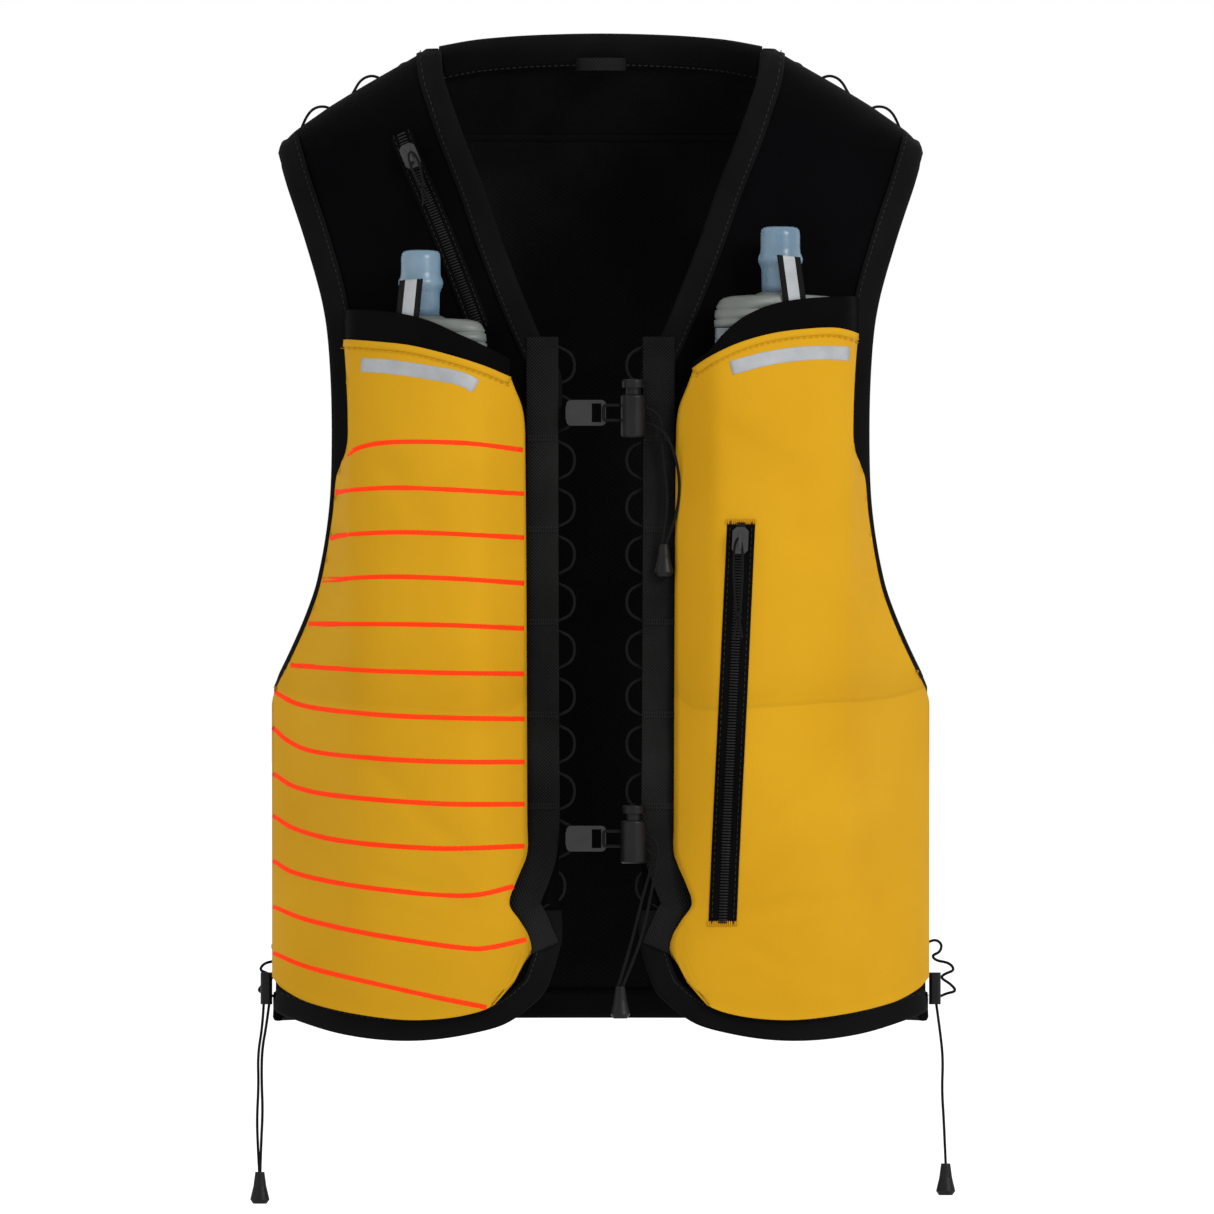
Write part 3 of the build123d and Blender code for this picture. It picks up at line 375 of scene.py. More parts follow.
def rear(x, z, offset):
    return on_form(x, z, offset, 1)


def neck_x(z):
    return value_at(NECK, z) if z > NECK[0][0] else FRONT_X


def armhole_x(z):
    return value_at(ARMHOLE, z) if z > ARMHOLE[0][0] else SIDE_X


# ---------------------------------------------------------------- the flask pocket's surface
POCKET_X = 84.0
POCKET_Y = -97.0
POCKET_LEAN = math.radians(24.0)
POCKET_HALF_WIDTH = 37.3
POCKET_HALF_DEPTH = 17.2
POCKET_NEAR_X = 35.6
POCKET_OUT = 3.85
POCKET_SLACK = ((-432, 0.10), (-405, 0.24), (-370, 0.52), (-330, 0.86), (-285, 1), (-80, 1))
YELLOW_TOP = {
    RIGHT: ((42, -131.1), (55.7, -125.5), (72.6, -120.3), (89.5, -116.3), (105.5, -114.5), (120.5, -113.2)),
    LEFT: ((43, -127), (51, -121.7), (63.7, -115.6), (79.7, -110.9), (96.6, -108.6), (110.2, -108.1),
           (121, -110.5)),
}
BAND_TOP = {
    RIGHT: ((42, -122.5), (46.3, -120.3), (55.7, -115.6), (67, -110.5), (79.7, -104.8), (91.9, -101.6),
            (105.5, -99.8), (120.5, -99.2)),
    LEFT: ((43, -124), (50, -119), (56.6, -111.4), (66, -103.4), (79.7, -97.2), (96.6, -94.2),
           (121, -92.8)),
}
YELLOW_NEAR = ((-423, 47), (-418, 40.5), (-409, 35.6), (-399, 32.4), (-392, 33.6), (-385, 37.6),
               (-377, 42.6), (-366, 39.2), (-354, 34.4), (-340, 34.2), (-160, 35.2), (-146, 36.4),
               (-135, 40.5), (-127, 43.5))
YELLOW_FAR = ((-283, 154.7), (-277, 153), (-265, 146.6), (-244, 137), (-226, 131), (-195, 125.6),
              (-178, 124), (-171, 121.6), (-163, 118.6), (-150, 118.2), (-132, 118.9), (-113, 120.5))
YELLOW_FOOT = ((32, -399), (36.4, -409), (44, -420), (57.6, -427.7), (84, -431.5), (110, -429.6),
               (136.5, -424), (149.7, -417.5), (155, -412))


@lru_cache(maxsize=None)
def taut_line(far):
    """Depth across the pocket of cloth pulled tight over the flask, as (distances, depths)."""
    half_width, half_depth = form_size(-200.0)
    xs = np.linspace(POCKET_NEAR_X - 6, far, 160)
    share = np.minimum(xs / (half_width + POCKET_OUT), 1.0)
    points = list(zip(xs, -(half_depth + POCKET_OUT) * np.sqrt(1 - share**2)))
    for angle in np.linspace(0, 2 * math.pi, 240, endpoint=False):
        a, b = POCKET_HALF_WIDTH * math.cos(angle), POCKET_HALF_DEPTH * math.sin(angle)
        points.append((POCKET_X + a * math.cos(POCKET_LEAN) - b * math.sin(POCKET_LEAN),
                       POCKET_Y + a * math.sin(POCKET_LEAN) + b * math.cos(POCKET_LEAN)))
    points.sort()
    hull = []
    for point in points:
        while len(hull) > 1:
            (x1, y1), (x2, y2) = hull[-2], hull[-1]
            if (x2 - x1) * (point[1] - y1) - (y2 - y1) * (point[0] - x1) <= 0:
                hull.pop()
            else:
                break
        hull.append(point)
    line_x, line_y = [p[0] for p in hull], [p[1] for p in hull]
    even = np.linspace(xs[0], far, 400)
    depth = np.interp(even, line_x, line_y)
    kernel = np.hanning(41)
    padded = np.pad(depth, 20, mode="reflect", reflect_type="odd")
    eased = np.convolve(padded, kernel / kernel.sum(), mode="valid")
    edge = np.clip((far - even) / 14.0, 0, 1)
    return even, edge * eased + (1 - edge) * depth


def far_x(z):
    return value_at(YELLOW_FAR, z) if z > YELLOW_FAR[0][0] else YELLOW_FAR[0][1]


# Soft creases, each from one point towards another on the pocket: x, z, x, z, half width.
CREASES = {
    RIGHT: ((44, -372, 120, -300, 7), (44, -385, 132, -352, 6), (42, -150, 96, -196, 8),
            (116, -150, 70, -215, 9), (145, -300, 92, -318, 6)),
    LEFT: ((44, -372, 104, -318, 7), (44, -385, 128, -372, 6), (42, -146, 92, -176, 8),
           (116, -146, 84, -232, 9), (148, -296, 96, -284, 6), (60, -392, 96, -412, 6)),
}


def pucker(x, z, side):
    """Depth of the creases at a point, in millimetres."""
    depth = 0.0
    for x0, z0, x1, z1, spread in CREASES[side]:
        length = math.hypot(x1 - x0, z1 - z0)
        along = ((x - x0) * (x1 - x0) + (z - z0) * (z1 - z0)) / length**2
        across = ((x - x0) * (z1 - z0) - (z - z0) * (x1 - x0)) / length
        if 0 < along < 1:
            bell = math.exp(-(across / spread) ** 2) * math.cos(across / spread * 1.6)
            depth += math.sin(math.pi * along) * bell
    return depth


def pocket_y(x, z, side):
    """Depth of the yellow cloth: flat on the chest below, taut over the flask above."""
    half_width, half_depth = form_size(round(z, 1))
    share = min(x / (half_width + POCKET_OUT), 1.0)
    flat = -(half_depth + POCKET_OUT) * math.sqrt(1 - share * share)
    even, depth = taut_line(2.0 * round(far_x(z) / 2.0))
    full = value_at(POCKET_SLACK, z)
    soft = noise.noise(Vector((side * x * 0.02 + 5, z * 0.014, 1.7))) * 1.6
    soft += noise.noise(Vector((side * x * 0.03 + z * 0.02, z * 0.045 + 9, 4.1))) * 0.9
    soft += 0.8 * pucker(x, z, side)
    inside = min(max((x - POCKET_NEAR_X) / 25, 0), 1) * min(max((far_x(z) - x) / 25, 0), 1)
    return flat + full * min(float(np.interp(x, even, depth)) - flat, 0) + soft * inside


def pocket(side):
    """Places a point on the yellow cloth, an offset out from it."""
    def put(x, z, offset):
        y = pocket_y(x, z, side)
        slope_x = (y - pocket_y(x - 0.5, z, side)) / 0.5
        slope_z = (pocket_y(x, z + 0.5, side) - y) / 0.5
        out = Vector((slope_x, -1.0, slope_z)).normalized() * offset
        return side * (x + out.x), y + out.y, z + out.z
    return put


# ---------------------------------------------------------------- mesh makers
def piece(name, points, faces, materials, weave=None, material_index=None):
    mesh = bpy.data.meshes.new(name)
    mesh.from_pydata([tuple(c * MM for c in p) for p in points], [], faces)
    mesh.shade_smooth()
    if weave is not None:
        attribute = mesh.attributes.new("weave", "FLOAT_VECTOR", "POINT")
        flat = np.zeros((len(points), 3))
        flat[:, :2] = np.array(weave) * MM
        attribute.data.foreach_set("vector", flat.ravel())
    for material in materials if isinstance(materials, (list, tuple)) else [materials]:
        mesh.materials.append(material)
    if material_index is not None:
        mesh.polygons.foreach_set("material_index", material_index)
    made = bpy.data.objects.new(name, mesh)
    bpy.context.scene.collection.objects.link(made)
    return made


def flat_cut(grid):
    """Flat width, length and area of cloth laid out as a grid, in metres."""
    grid = np.array(grid, float) * MM
    width = np.linalg.norm(np.diff(grid, axis=1), axis=2).sum(axis=1).max()
    length = np.linalg.norm(np.diff(grid, axis=0), axis=2).sum(axis=0).max()
    across, along = np.diff(grid, axis=1)[:-1], np.diff(grid, axis=0)[:, :-1]
    area = np.linalg.norm(np.cross(across, along), axis=2).sum()
    return (float(width), float(length)), float(area)


def declare_sheet(made, grid):
    flat, area = flat_cut(grid)
    print(made.name, "flat", [round(side, 3) for side in flat], "area", round(area, 4))


def sheet_mesh(name, grid, thickness, materials, paint=None):
    """A cloth shell from a grid of outer points: an inner grid one thickness in, and a closed rim."""
    grid = np.array(grid, float)
    rows, columns = grid.shape[:2]
    along = np.gradient(grid, axis=0)
    across = np.gradient(grid, axis=1)
    normal = np.cross(across, along)
    normal /= np.maximum(np.linalg.norm(normal, axis=2, keepdims=True), 1e-9)
    centre = np.array([0.0, 0.0, -200.0])
    outward = grid - centre
    outward[..., 2] *= 0.15
    if (normal * outward).sum() < 0:
        normal = -normal
    inner = grid - normal * thickness
    step_u = np.linalg.norm(np.diff(grid, axis=1), axis=2)
    step_v = np.linalg.norm(np.diff(grid, axis=0), axis=2)
    u = np.concatenate((np.zeros((rows, 1)), np.cumsum(step_u, axis=1)), axis=1)
    u -= u[:, columns // 2:columns // 2 + 1]
    v = np.concatenate((np.zeros((1, columns)), np.cumsum(step_v, axis=0)), axis=0)
    v = np.repeat(v.mean(axis=1, keepdims=True), columns, axis=1)
    weave = np.stack((u, v), axis=2).reshape(-1, 2)
    points = np.concatenate((grid.reshape(-1, 3), inner.reshape(-1, 3)))
    size = rows * columns
    faces, index = [], []
    for r in range(rows - 1):
        for c in range(columns - 1):
            a, b = r * columns + c, r * columns + c + 1
            d, e = a + columns, b + columns
            faces.append((a, b, e, d))
            faces.append((size + a, size + d, size + e, size + b))
            slot = paint(r, c) if paint else 0
            index.extend((slot, slot))
    rim = [(r * columns, (r + 1) * columns) for r in range(rows - 1)]
    rim += [((r + 1) * columns - 1, (r + 2) * columns - 1) for r in range(rows - 1)]
    rim += [(c, c + 1) for c in range(columns - 1)]
    rim += [((rows - 1) * columns + c, (rows - 1) * columns + c + 1) for c in range(columns - 1)]
    for a, b in rim:
        faces.append((a, b, size + b, size + a))
        index.append(0)
    return piece(name, points, faces, materials, np.concatenate((weave, weave)), index)


def tube_faces(rings, count, base=0):
    """Faces of a closed tube of rings of points, with a cap at both ends."""
    faces = []
    for ring in range(rings - 1):
        for k in range(count):
            a, b = base + ring * count + k, base + ring * count + (k + 1) % count
            faces.append((a, b, b + count, a + count))
    faces.append(tuple(base + k for k in reversed(range(count))))
    faces.append(tuple(base + (rings - 1) * count + k for k in range(count)))
    return faces


def frames_of(path):
    """Each path point with its unit direction and left normal, in the flat outline."""
    flat = np.array(path, float)
    way = np.gradient(flat, axis=0)
    way /= np.linalg.norm(way, axis=1, keepdims=True)
    return [(p, d, np.array((-d[1], d[0]))) for p, d in zip(flat, way)]


def ribbon(name, path, profile, put, material, step=2.5):
    """A strip along an outline path; profile is a closed loop of (across, out)."""
    path = smooth_path(path, step)
    stations = frames_of(path)
    around = np.array(profile, float)
    girth = np.concatenate(([0], np.cumsum(np.linalg.norm(np.diff(around, axis=0), axis=1))))
    points, weave, run = [], [], 0.0
    for row, (place, _, left) in enumerate(stations):
        if row:
            run += float(np.linalg.norm(place - stations[row - 1][0]))
        for k, (w, out) in enumerate(profile):
            points.append(put(place[0] + left[0] * w, place[1] + left[1] * w, out))
            weave.append((girth[k], run))
    return piece(name, points, tube_faces(len(stations), len(profile)), material, weave)


def flat_profile(width, low, high, crown=0.15, shift=0.0):
    half = width / 2
    edge = min(0.4, width / 4)
    shoulder = high + crown * 0.8
    return [(shift - half, low), (shift - half, high - edge / 2), (shift - half + edge, high),
            (shift - half / 2, shoulder), (shift, high + crown), (shift + half / 2, shoulder),
            (shift + half - edge, high), (shift + half, high - edge / 2), (shift + half, low), (shift, low)]


def stitches(name, path, shift, out, put, material, pitch=2.9, dash=1.9, thick=0.34, crosswise=False):
    """A row of thread dashes along a path, or across it for a bartack or zip coil."""
    stations = frames_of(smooth_path(path, pitch))
    points, weave, faces = [], [], []
    for place, ahead, left in stations:
        long_way, short_way = (left, ahead) if crosswise else (ahead, left)
        middle = place + left * shift
        base = len(points)
        for end, swell in ((-0.5, 0.35), (-0.3, 1.0), (0.3, 1.0), (0.5, 0.35)):
            for turn in range(4):
                angle = math.pi / 4 + turn * math.pi / 2
                spot = middle + long_way * end * dash + short_way * math.cos(angle) * thick * swell
                points.append(put(spot[0], spot[1], out + math.sin(angle) * thick * swell))
                weave.append((turn * 0.3, end * dash))
        faces += tube_faces(4, 4, base)
    return piece(name, points, faces, material, weave)


def wire(name, points, radius, material, resolution=6):
    """A smooth cord curve through the neighbourhood of its points."""
    data = bpy.data.curves.new(name, "CURVE")
    data.dimensions = "3D"
    data.bevel_depth = radius * MM
    data.bevel_resolution = 4
    data.use_fill_caps = True
    line = data.splines.new("NURBS")
    line.points.add(len(points) - 1)
    for spot, point in zip(line.points, points):
        spot.co = (*(c * MM for c in point), 1.0)
    line.order_u = 3
    line.use_endpoint_u = True
    line.resolution_u = resolution
    data.materials.append(material)
    made = bpy.data.objects.new(name, data)
    bpy.context.scene.collection.objects.link(made)
    return made


def lathe(name, levels, centre, lean, material, segments=56, wobble=0.0):
    """A closed upright form of oval levels (height, half width, half depth) about a centre."""
    points, weave = [], []
    for z, a, b in levels:
        for k in range(segments):
            angle = 2 * math.pi * k / segments
            place = Vector((math.cos(angle) * 2.2, math.sin(angle) * 2.2, z * 0.06))
            crinkle = 1 + wobble * noise.noise(place)
            x, y = a * math.cos(angle) * crinkle, b * math.sin(angle) * crinkle
            points.append((centre[0] + x * math.cos(lean) - y * math.sin(lean),
                           centre[1] + x * math.sin(lean) + y * math.cos(lean), z))
            weave.append((angle * a, z))
    return piece(name, points, tube_faces(len(levels), segments), material, weave)


def bend_with_front(made, side):
    """Bakes the piece's placement into its mesh."""
    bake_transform(made)


def hardware(made, body):
    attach(made, body)


def soft_trim(made, side):
    bend_with_front(made, side)


def stand_in(made, node, body):
    """The piece is shown in place of a CAD node and rides on its body."""
    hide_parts(node)
    hardware(made, body)


# ---------------------------------------------------------------- free cords, first
UPPER_TAIL_FRONT = ((22, -100.5, -145.5), (26.6, -101, -147.5), (28.6, -101, -152.5), (28.7, -100.5, -160.5),
                    (29.4, -100, -171), (31.2, -99.8, -184), (31, -99.8, -197), (28.6, -100, -209))
UPPER_TAIL_REAR = ((22, -100.5, -152.5), (26.4, -102.4, -153.6), (31.4, -103.4, -158.8), (35.4, -103, -169),
                   (37, -102, -180.5), (36.2, -101, -191.5), (33.6, -100.4, -201), (30.6, -100, -209))
LOWER_TAIL_FRONT = ((22, -100.5, -344.4), (25.8, -101.2, -346.8), (27, -101.4, -352.5), (25.8, -101.2, -361),
                    (23.4, -100.8, -373), (20.4, -100.6, -388), (16, -100.5, -402), (10.2, -100.5, -415.5))
LOWER_TAIL_REAR = ((22, -100.5, -351.4), (24.4, -99.6, -354.2), (23.6, -99.2, -360.5), (20.4, -99.4, -371),
                   (17.2, -99.8, -384), (13.4, -100.2, -399), (8.2, -100.5, -415.5))
RIGHT_ADJUSTER_FRONT = ((-156.2, 5.4, -425.5), (-157.4, 5.2, -435), (-159.6, 5.4, -447), (-159.8, 5.9, -461),
                        (-159.2, 6.2, -476), (-160, 6.3, -491), (-160.4, 6.3, -504.5))
RIGHT_ADJUSTER_REAR = ((-158.8, 8.6, -425.5), (-159.4, 9.2, -436), (-161.6, 9, -449), (-161.2, 8.4, -464),
                       (-162, 7.9, -479), (-161.6, 7.7, -492), (-160.9, 7.7, -504.5))
LEFT_ADJUSTER_CORD = ((158.2, 7, -425.5), (159.8, 6.6, -437), (161.4, 6.6, -451), (160.8, 7, -466),
                      (161.8, 7.2, -481), (162.6, 7, -500.5))


def free_cord(node, points, diameter, body):
    line = wire(f"{node}_line", points, diameter / 2, CORD, resolution=12)
    stand_in(line, node, body)
    tuple(c * MM for c in points[0])


free_cord("upper_tail_front", UPPER_TAIL_FRONT, 1.4, "left_front")
free_cord("upper_tail_rear", UPPER_TAIL_REAR, 1.4, "left_front")
free_cord("lower_tail_front", LOWER_TAIL_FRONT, 1.4, "left_front")
free_cord("lower_tail_rear", LOWER_TAIL_REAR, 1.4, "left_front")
free_cord("right_adjuster_cord_front", RIGHT_ADJUSTER_FRONT, 1.3, "back")
free_cord("right_adjuster_cord_rear", RIGHT_ADJUSTER_REAR, 1.3, "back")
free_cord("left_adjuster_cord", LEFT_ADJUSTER_CORD, 1.3, "back")


# ---------------------------------------------------------------- cloth of the fronts
FOOT_START_Z = -380.0
FOOT_Z = -440.0
COLLAR_Z = 23.0


def front_panel(side):
    rows, columns = 150, 44
    put = chest(side)
    grid = []
    for z0 in np.linspace(FOOT_Z, COLLAR_Z, rows):
        half_width, _ = form_size(round(float(z0), 2))
        half_width += PANEL
        near = math.asin(min(neck_x(z0) / half_width, 1))
        far = math.asin(min(armhole_x(z0) / half_width, 1))
        row = []
        for share in np.linspace(0, 1, columns):
            x = half_width * math.sin(near + (far - near) * share)
            z = float(z0)
            if z < FOOT_START_Z:
                share_down = (z - FOOT_START_Z) / (FOOT_Z - FOOT_START_Z)
                z = FOOT_START_Z + share_down * (value_at(HEM, x) - FOOT_START_Z)
            fold = noise.noise(Vector(((x + z * 0.7) * 0.05, (x - z) * 0.012, side * 3.0)))
            calm = min(max((z + 130) / 60, 0), 1)
            row.append(put(x, z, PANEL - 0.35 * abs(fold) * calm))
        grid.append(row)
    name = f"{SIDE_NAME[side]}_front_cloth"
    made = sheet_mesh(name, grid, PANEL, CLOTH)
    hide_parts(f"{SIDE_NAME[side]}_front_panel")
    soft_trim(made, side)
    declare_sheet(made, grid)


EDGE_WRAP = ((-0.9, -0.5), (-1.3, 1), (-0.9, 2.8), (0.6, 3.3), (3, 3.15), (4.6, 3), (7, 3.3), (9.6, 3.2),
             (10.6, 2.7), (10.6, 2.02), (0.1, 2.02), (0.1, -0.5))


def outline_points(table, low, high, count, swap=False):
    """Points on an outline table between two positions; swap puts the value first."""
    places = np.linspace(low, high, count)
    if swap:
        return [(value_at(table, p), float(p)) for p in places]
    return [(float(p), value_at(table, p)) for p in places]


def front_edges(side):
    name = SIDE_NAME[side]
    put = chest(side)
    neck = outline_points(NECK, 21.0, -131.0, 22, swap=True) + [(FRONT_X, -150.0)]
    hem = [(FRONT_X, -380.0)] + outline_points(HEM, 19.6, 154.8, 22)
    arm = outline_points(ARMHOLE, -283.0, -19.5, 26, swap=True)
    made = ribbon(f"{name}_neck_edging", neck, EDGE_WRAP, put, BINDING)
    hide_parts(f"{name}_front_edge_binding")
    edgings = [made]
    edgings.append(ribbon(f"{name}_hem_edging", hem, EDGE_WRAP, put, BINDING))
    made = ribbon(f"{name}_armhole_edging", arm, EDGE_WRAP, put, BINDING)
    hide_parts(f"{name}_front_armhole_binding")
    edgings.append(made)
    for label, path in (("neck", neck), ("hem", hem), ("armhole", arm)):
        edgings.append(stitches(f"{name}_{label}_seam", path, 8.6, 3.25, put, THREAD))
    for made in edgings:
        soft_trim(made, side)


TACKS = (-159.3, -202, -245.3, -288.6, -331.4)
WEBBING_LINE = ((27.2, -112), (27.2, -150), (27.2, -200), (27, -250), (26.8, -300), (26.6, -335),
                (27.6, -352), (31, -364), (35.4, -376.5), (32, -385), (26.4, -398))


def daisy(side):
    """The webbing stands off the front between its bartacks."""
    put = chest(side)
    gap = TACKS[0] - TACKS[1]

    def place(x, z, offset):
        phase = math.pi * (z - TACKS[0]) / gap
        stand = 1.3 * math.sin(phase) ** 2 if TACKS[-1] - gap < z < TACKS[0] + gap else 0.3
        return put(x, z, offset + stand)
    return place


def webbing(side):
    name = SIDE_NAME[side]
    put = daisy(side)
    made = ribbon(f"{name}_webbing", WEBBING_LINE, flat_profile(15.0, 2.3, 3.8, 0.1), put, WEBBING, step=1.5)
    stand_in(made, f"{name}_daisy_webbing", f"{name}_front")
    for number, z in enumerate(TACKS):
        for row in (-0.8, 0.8):
            across = ((20.6, z + row), (27.0, z + row), (33.6, z + row))
            tack = stitches(f"{name}_bartack_{number}_{'ab'[row > 0]}", across, 0.0, 4.15, put, THREAD,
                            pitch=0.75, dash=1.7, thick=0.3, crosswise=True)
            hardware(tack, f"{name}_front")


LOOP_TOP_Z, LOOP_PITCH = -147.6, 22.1
LOOP_SHAPE = ((21.5, 9.6), (19.0, 8.4), (14.2, 6.2), (12.2, 2.4), (12.2, -2.4), (14.2, -6.2), (19.0, -8.4),
              (21.5, -9.6))


def ladder(side):
    """One elastic cord that runs under the webbing's edge and bulges out in even loops."""
    name = SIDE_NAME[side]
    y = chest(side)(FRONT_X, LOOP_TOP_Z, PANEL / 2)[1]
    points = []
    for number in range(-1, 12):
        z = LOOP_TOP_Z - number * LOOP_PITCH
        lean = 4.5 * max(number - 9, 0)
        for x, rise in LOOP_SHAPE:
            points.append((side * (x + lean), y - 0.15 * (number % 2), z + rise))
    made = wire(f"{name}_ladder_line", points, LACE_RADIUS, CORD, resolution=8)
    stand_in(made, f"{name}_ladder_cord", f"{name}_front")


GRID_START_Z = -270.0
GRID_PASSES = 80
GRID_STEP = 0.3


def yellow_grid(side, rows, columns):
    """Rows from the foot to the top edge, columns from the webbing out to the side."""
    put = pocket(side)
    half_width = form_size(-200.0)[0] + POCKET_OUT
    heights = np.linspace(-432.0, -106.0, 900)
    near = np.array([value_at(YELLOW_NEAR, z) for z in heights])
    far = np.array([far_x(z) for z in heights])
    widths = np.linspace(30.0, 156.0, 500)
    foot = np.array([value_at(YELLOW_FOOT, x) for x in widths])
    top = np.array([value_at(YELLOW_TOP[side], x) for x in widths])
    share, share_up = np.meshgrid(np.linspace(0, 1, columns), np.linspace(0, 1, rows))
    z = np.full(share.shape, GRID_START_Z)
    for _ in range(GRID_PASSES):
        a = np.arcsin(np.interp(z, heights, near) / half_width)
        b = np.arcsin(np.minimum(np.interp(z, heights, far) / half_width, 1.0))
        x = half_width * np.sin(a + (b - a) * share)
        low = np.interp(x, widths, foot)
        z += GRID_STEP * (low + (np.interp(x, widths, top) - low) * share_up - z)
    return [[put(float(x[r, c]), float(z[r, c]), 0.0) for c in range(columns)] for r in range(rows)]


STRIPES = (
    ((36.4, -165), (59, -162.2), (83, -161.2), (102, -161.7), (113, -164), (118.5, -167.3)),
    ((35.8, -185.4), (88, -182.8), (112, -183.3), (124.4, -184.7)),
    ((35.8, -205.9), (88, -203.5), (118.7, -204.5), (126.6, -206.3)),
    ((35.8, -227.2), (70, -225), (102, -224.2), (130.6, -225.8)),
    ((35.8, -248.3), (70, -246.8), (102, -246.3), (137, -246.3)),
    ((35.8, -269.5), (75, -269), (110, -267.9), (145.5, -265.6)),
    ((35.6, -290.6), (70, -290), (103.6, -288.6), (138.4, -284.8), (153.2, -278.4)),
    ((35.6, -310.7), (70, -310.5), (100.8, -309.3), (132.3, -306.4), (146, -301.7), (154.2, -295)),
    ((35.6, -330.4), (77.3, -330), (123.4, -326.6), (143, -322.9), (154, -316.6)),
    ((35.6, -350), (77.3, -351), (120.6, -347.8), (143, -342.6), (154, -336.4)),
    ((40.6, -368.8), (57.6, -372.7), (77.3, -372.7), (116.8, -368.5), (143, -363.3), (154, -357.6)),
    ((34.6, -393.6), (50.5, -397.2), (64.2, -397.6), (103.6, -392), (136.5, -385.4), (154, -379.2)),
    ((53.3, -425.4), (77.3, -420.7), (103.6, -415), (136.5, -407.5), (154, -401)),
)
REFLECTIVE_LINE = {
    RIGHT: ((58.2, -135.4), (66, -131.6), (85.3, -128), (100, -126), (111.8, -125.2)),
    LEFT: ((60.9, -126.9), (75, -123), (88.6, -120.6), (102, -119.6), (116.3, -119.9)),
}


def yellow_pocket(side):
    name = SIDE_NAME[side]
    put = pocket(side)
    grid = yellow_grid(side, 150, 72)
    cloth = sheet_mesh(f"{name}_pocket_cloth", grid, YELLOW_CLOTH, YELLOW)
    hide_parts(f"{name}_pocket_shell")
    declare_sheet(cloth, grid)
    top = YELLOW_TOP[side][::-1]
    roll = ribbon(f"{name}_pocket_top_roll", top, flat_profile(3.4, -0.4, 0.55, 0.35, 1.5), put, YELLOW)
    seam = stitches(f"{name}_pocket_top_seam", top, 3.9, 0.25, put, YELLOW_THREAD, thick=0.3)
    for made in (cloth, roll, seam):
        soft_trim(made, side)
    strip = ribbon(f"{name}_reflective_strip", REFLECTIVE_LINE[side], flat_profile(6.6, 0.02, 0.22, 0.0), put,
                   REFLECTIVE, step=2.0)
    soft_trim(strip, side)
    if side == RIGHT:
        profile = flat_profile(2.4, 0.0, 0.14, 0.0)
        for number, line in enumerate(STRIPES):
            stripe = ribbon(f"stripe_{number + 1}", line, profile, put, ORANGE, step=2.0)
            soft_trim(stripe, side)


def pocket_band(side):
    """Black elastic that rises from the yellow edge and closes on the flask."""
    name = SIDE_NAME[side]
    put = pocket(side)
    low, high = YELLOW_TOP[side], BAND_TOP[side]
    first, last = low[0][0], low[-1][0]
    grid = []
    for share in np.linspace(0, 1, 14):
        row = []
        for x in np.linspace(first, last, 60):
            foot = value_at(low, x) - 1.2
            z = foot + (value_at(high, x) - foot) * share
            row.append(put(float(x), z, -0.35 + 0.25 * math.sin(share * math.pi)))
        grid.append(row)
    made = sheet_mesh(f"{name}_band_cloth", grid, BAND_CLOTH, ELASTIC)
    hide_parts(f"{name}_pocket_band")
    soft_trim(made, side)
    declare_sheet(made, grid)


for front_side in (RIGHT, LEFT):
    front_panel(front_side)
    front_edges(front_side)
    webbing(front_side)
    ladder(front_side)
    yellow_pocket(front_side)
    pocket_band(front_side)


# ---------------------------------------------------------------- soft flasks
VALVE_TOP = {RIGHT: -71.5, LEFT: -60.5}
FLASK_DROP = 200.0


def flask(side):
    name = SIDE_NAME[side]
    centre, lean = (side * POCKET_X, POCKET_Y), side * POCKET_LEAN
    base = VALVE_TOP[side] - 31.0
    levels = [(base + 31.0 - drop, r, r) for drop, r in (
        (31, 8.7), (27, 8.8), (20.5, 8.9), (18.4, 9.5), (16.8, 10.3), (15.4, 10.5), (14, 10.2), (12.4, 9.4),
        (10, 9.2), (4, 9.2), (1.8, 8.9), (0.7, 8), (0.15, 6), (0, 3))]
    valve = lathe(f"{name}_valve_skin", levels, centre, lean, VALVE, 48)
    stand_in(valve, f"{name}_bite_valve", f"{name}_cap")
    dome = [(base - drop, r, r) for drop, r in (
        (5.8, 12.6), (2.4, 12.8), (1.2, 12.2), (0.2, 10.4), (-0.25, 9.4))]
    cap = lathe(f"{name}_cap_dome", dome, centre, lean, CAP_GREY, 48)
    stand_in(cap, f"{name}_flask_cap", f"{name}_cap")
    collar = [(base - drop, a, b) for drop, a, b in (
        (16, 33.2, 14), (13, 33.4, 14), (12.6, 32.6, 13.6), (12, 32.6, 13.6), (11.6, 33.2, 13.9),
        (8.4, 32.8, 13.8), (8, 32, 13.2), (7.4, 32, 13.2), (7, 32.4, 13.6), (4, 30.6, 13.4),
        (2.6, 28.6, 13.1), (1.6, 24, 12.9), (1.1, 16, 12.85), (1, 12.9, 12.8))]
    ring = lathe(f"{name}_flask_collar", collar, centre, lean, CAP_GREY, 64)
    hardware(ring, f"{name}_flask")
    foot = base - 6.5 - FLASK_DROP
    bag = [(foot + rise, a, b) for rise, a, b in (
        (0, 25.5, 5.5), (2, 28.5, 8), (6, 31.8, 11.2), (12, 33.4, 13.2), (30, 33.6, 13.6),
        (60, 33.4, 13.5), (95, 33.6, 13.7), (130, 33.3, 13.5), (165, 33.5, 13.6), (190, 33.3, 13.7))]
    film = lathe(f"{name}_flask_film", bag, centre, lean, FILM, 64, wobble=0.02)
    stand_in(film, f"{name}_flask_body", f"{name}_flask")


TAB_LEAN = {RIGHT: 3.4, LEFT: -4.6}


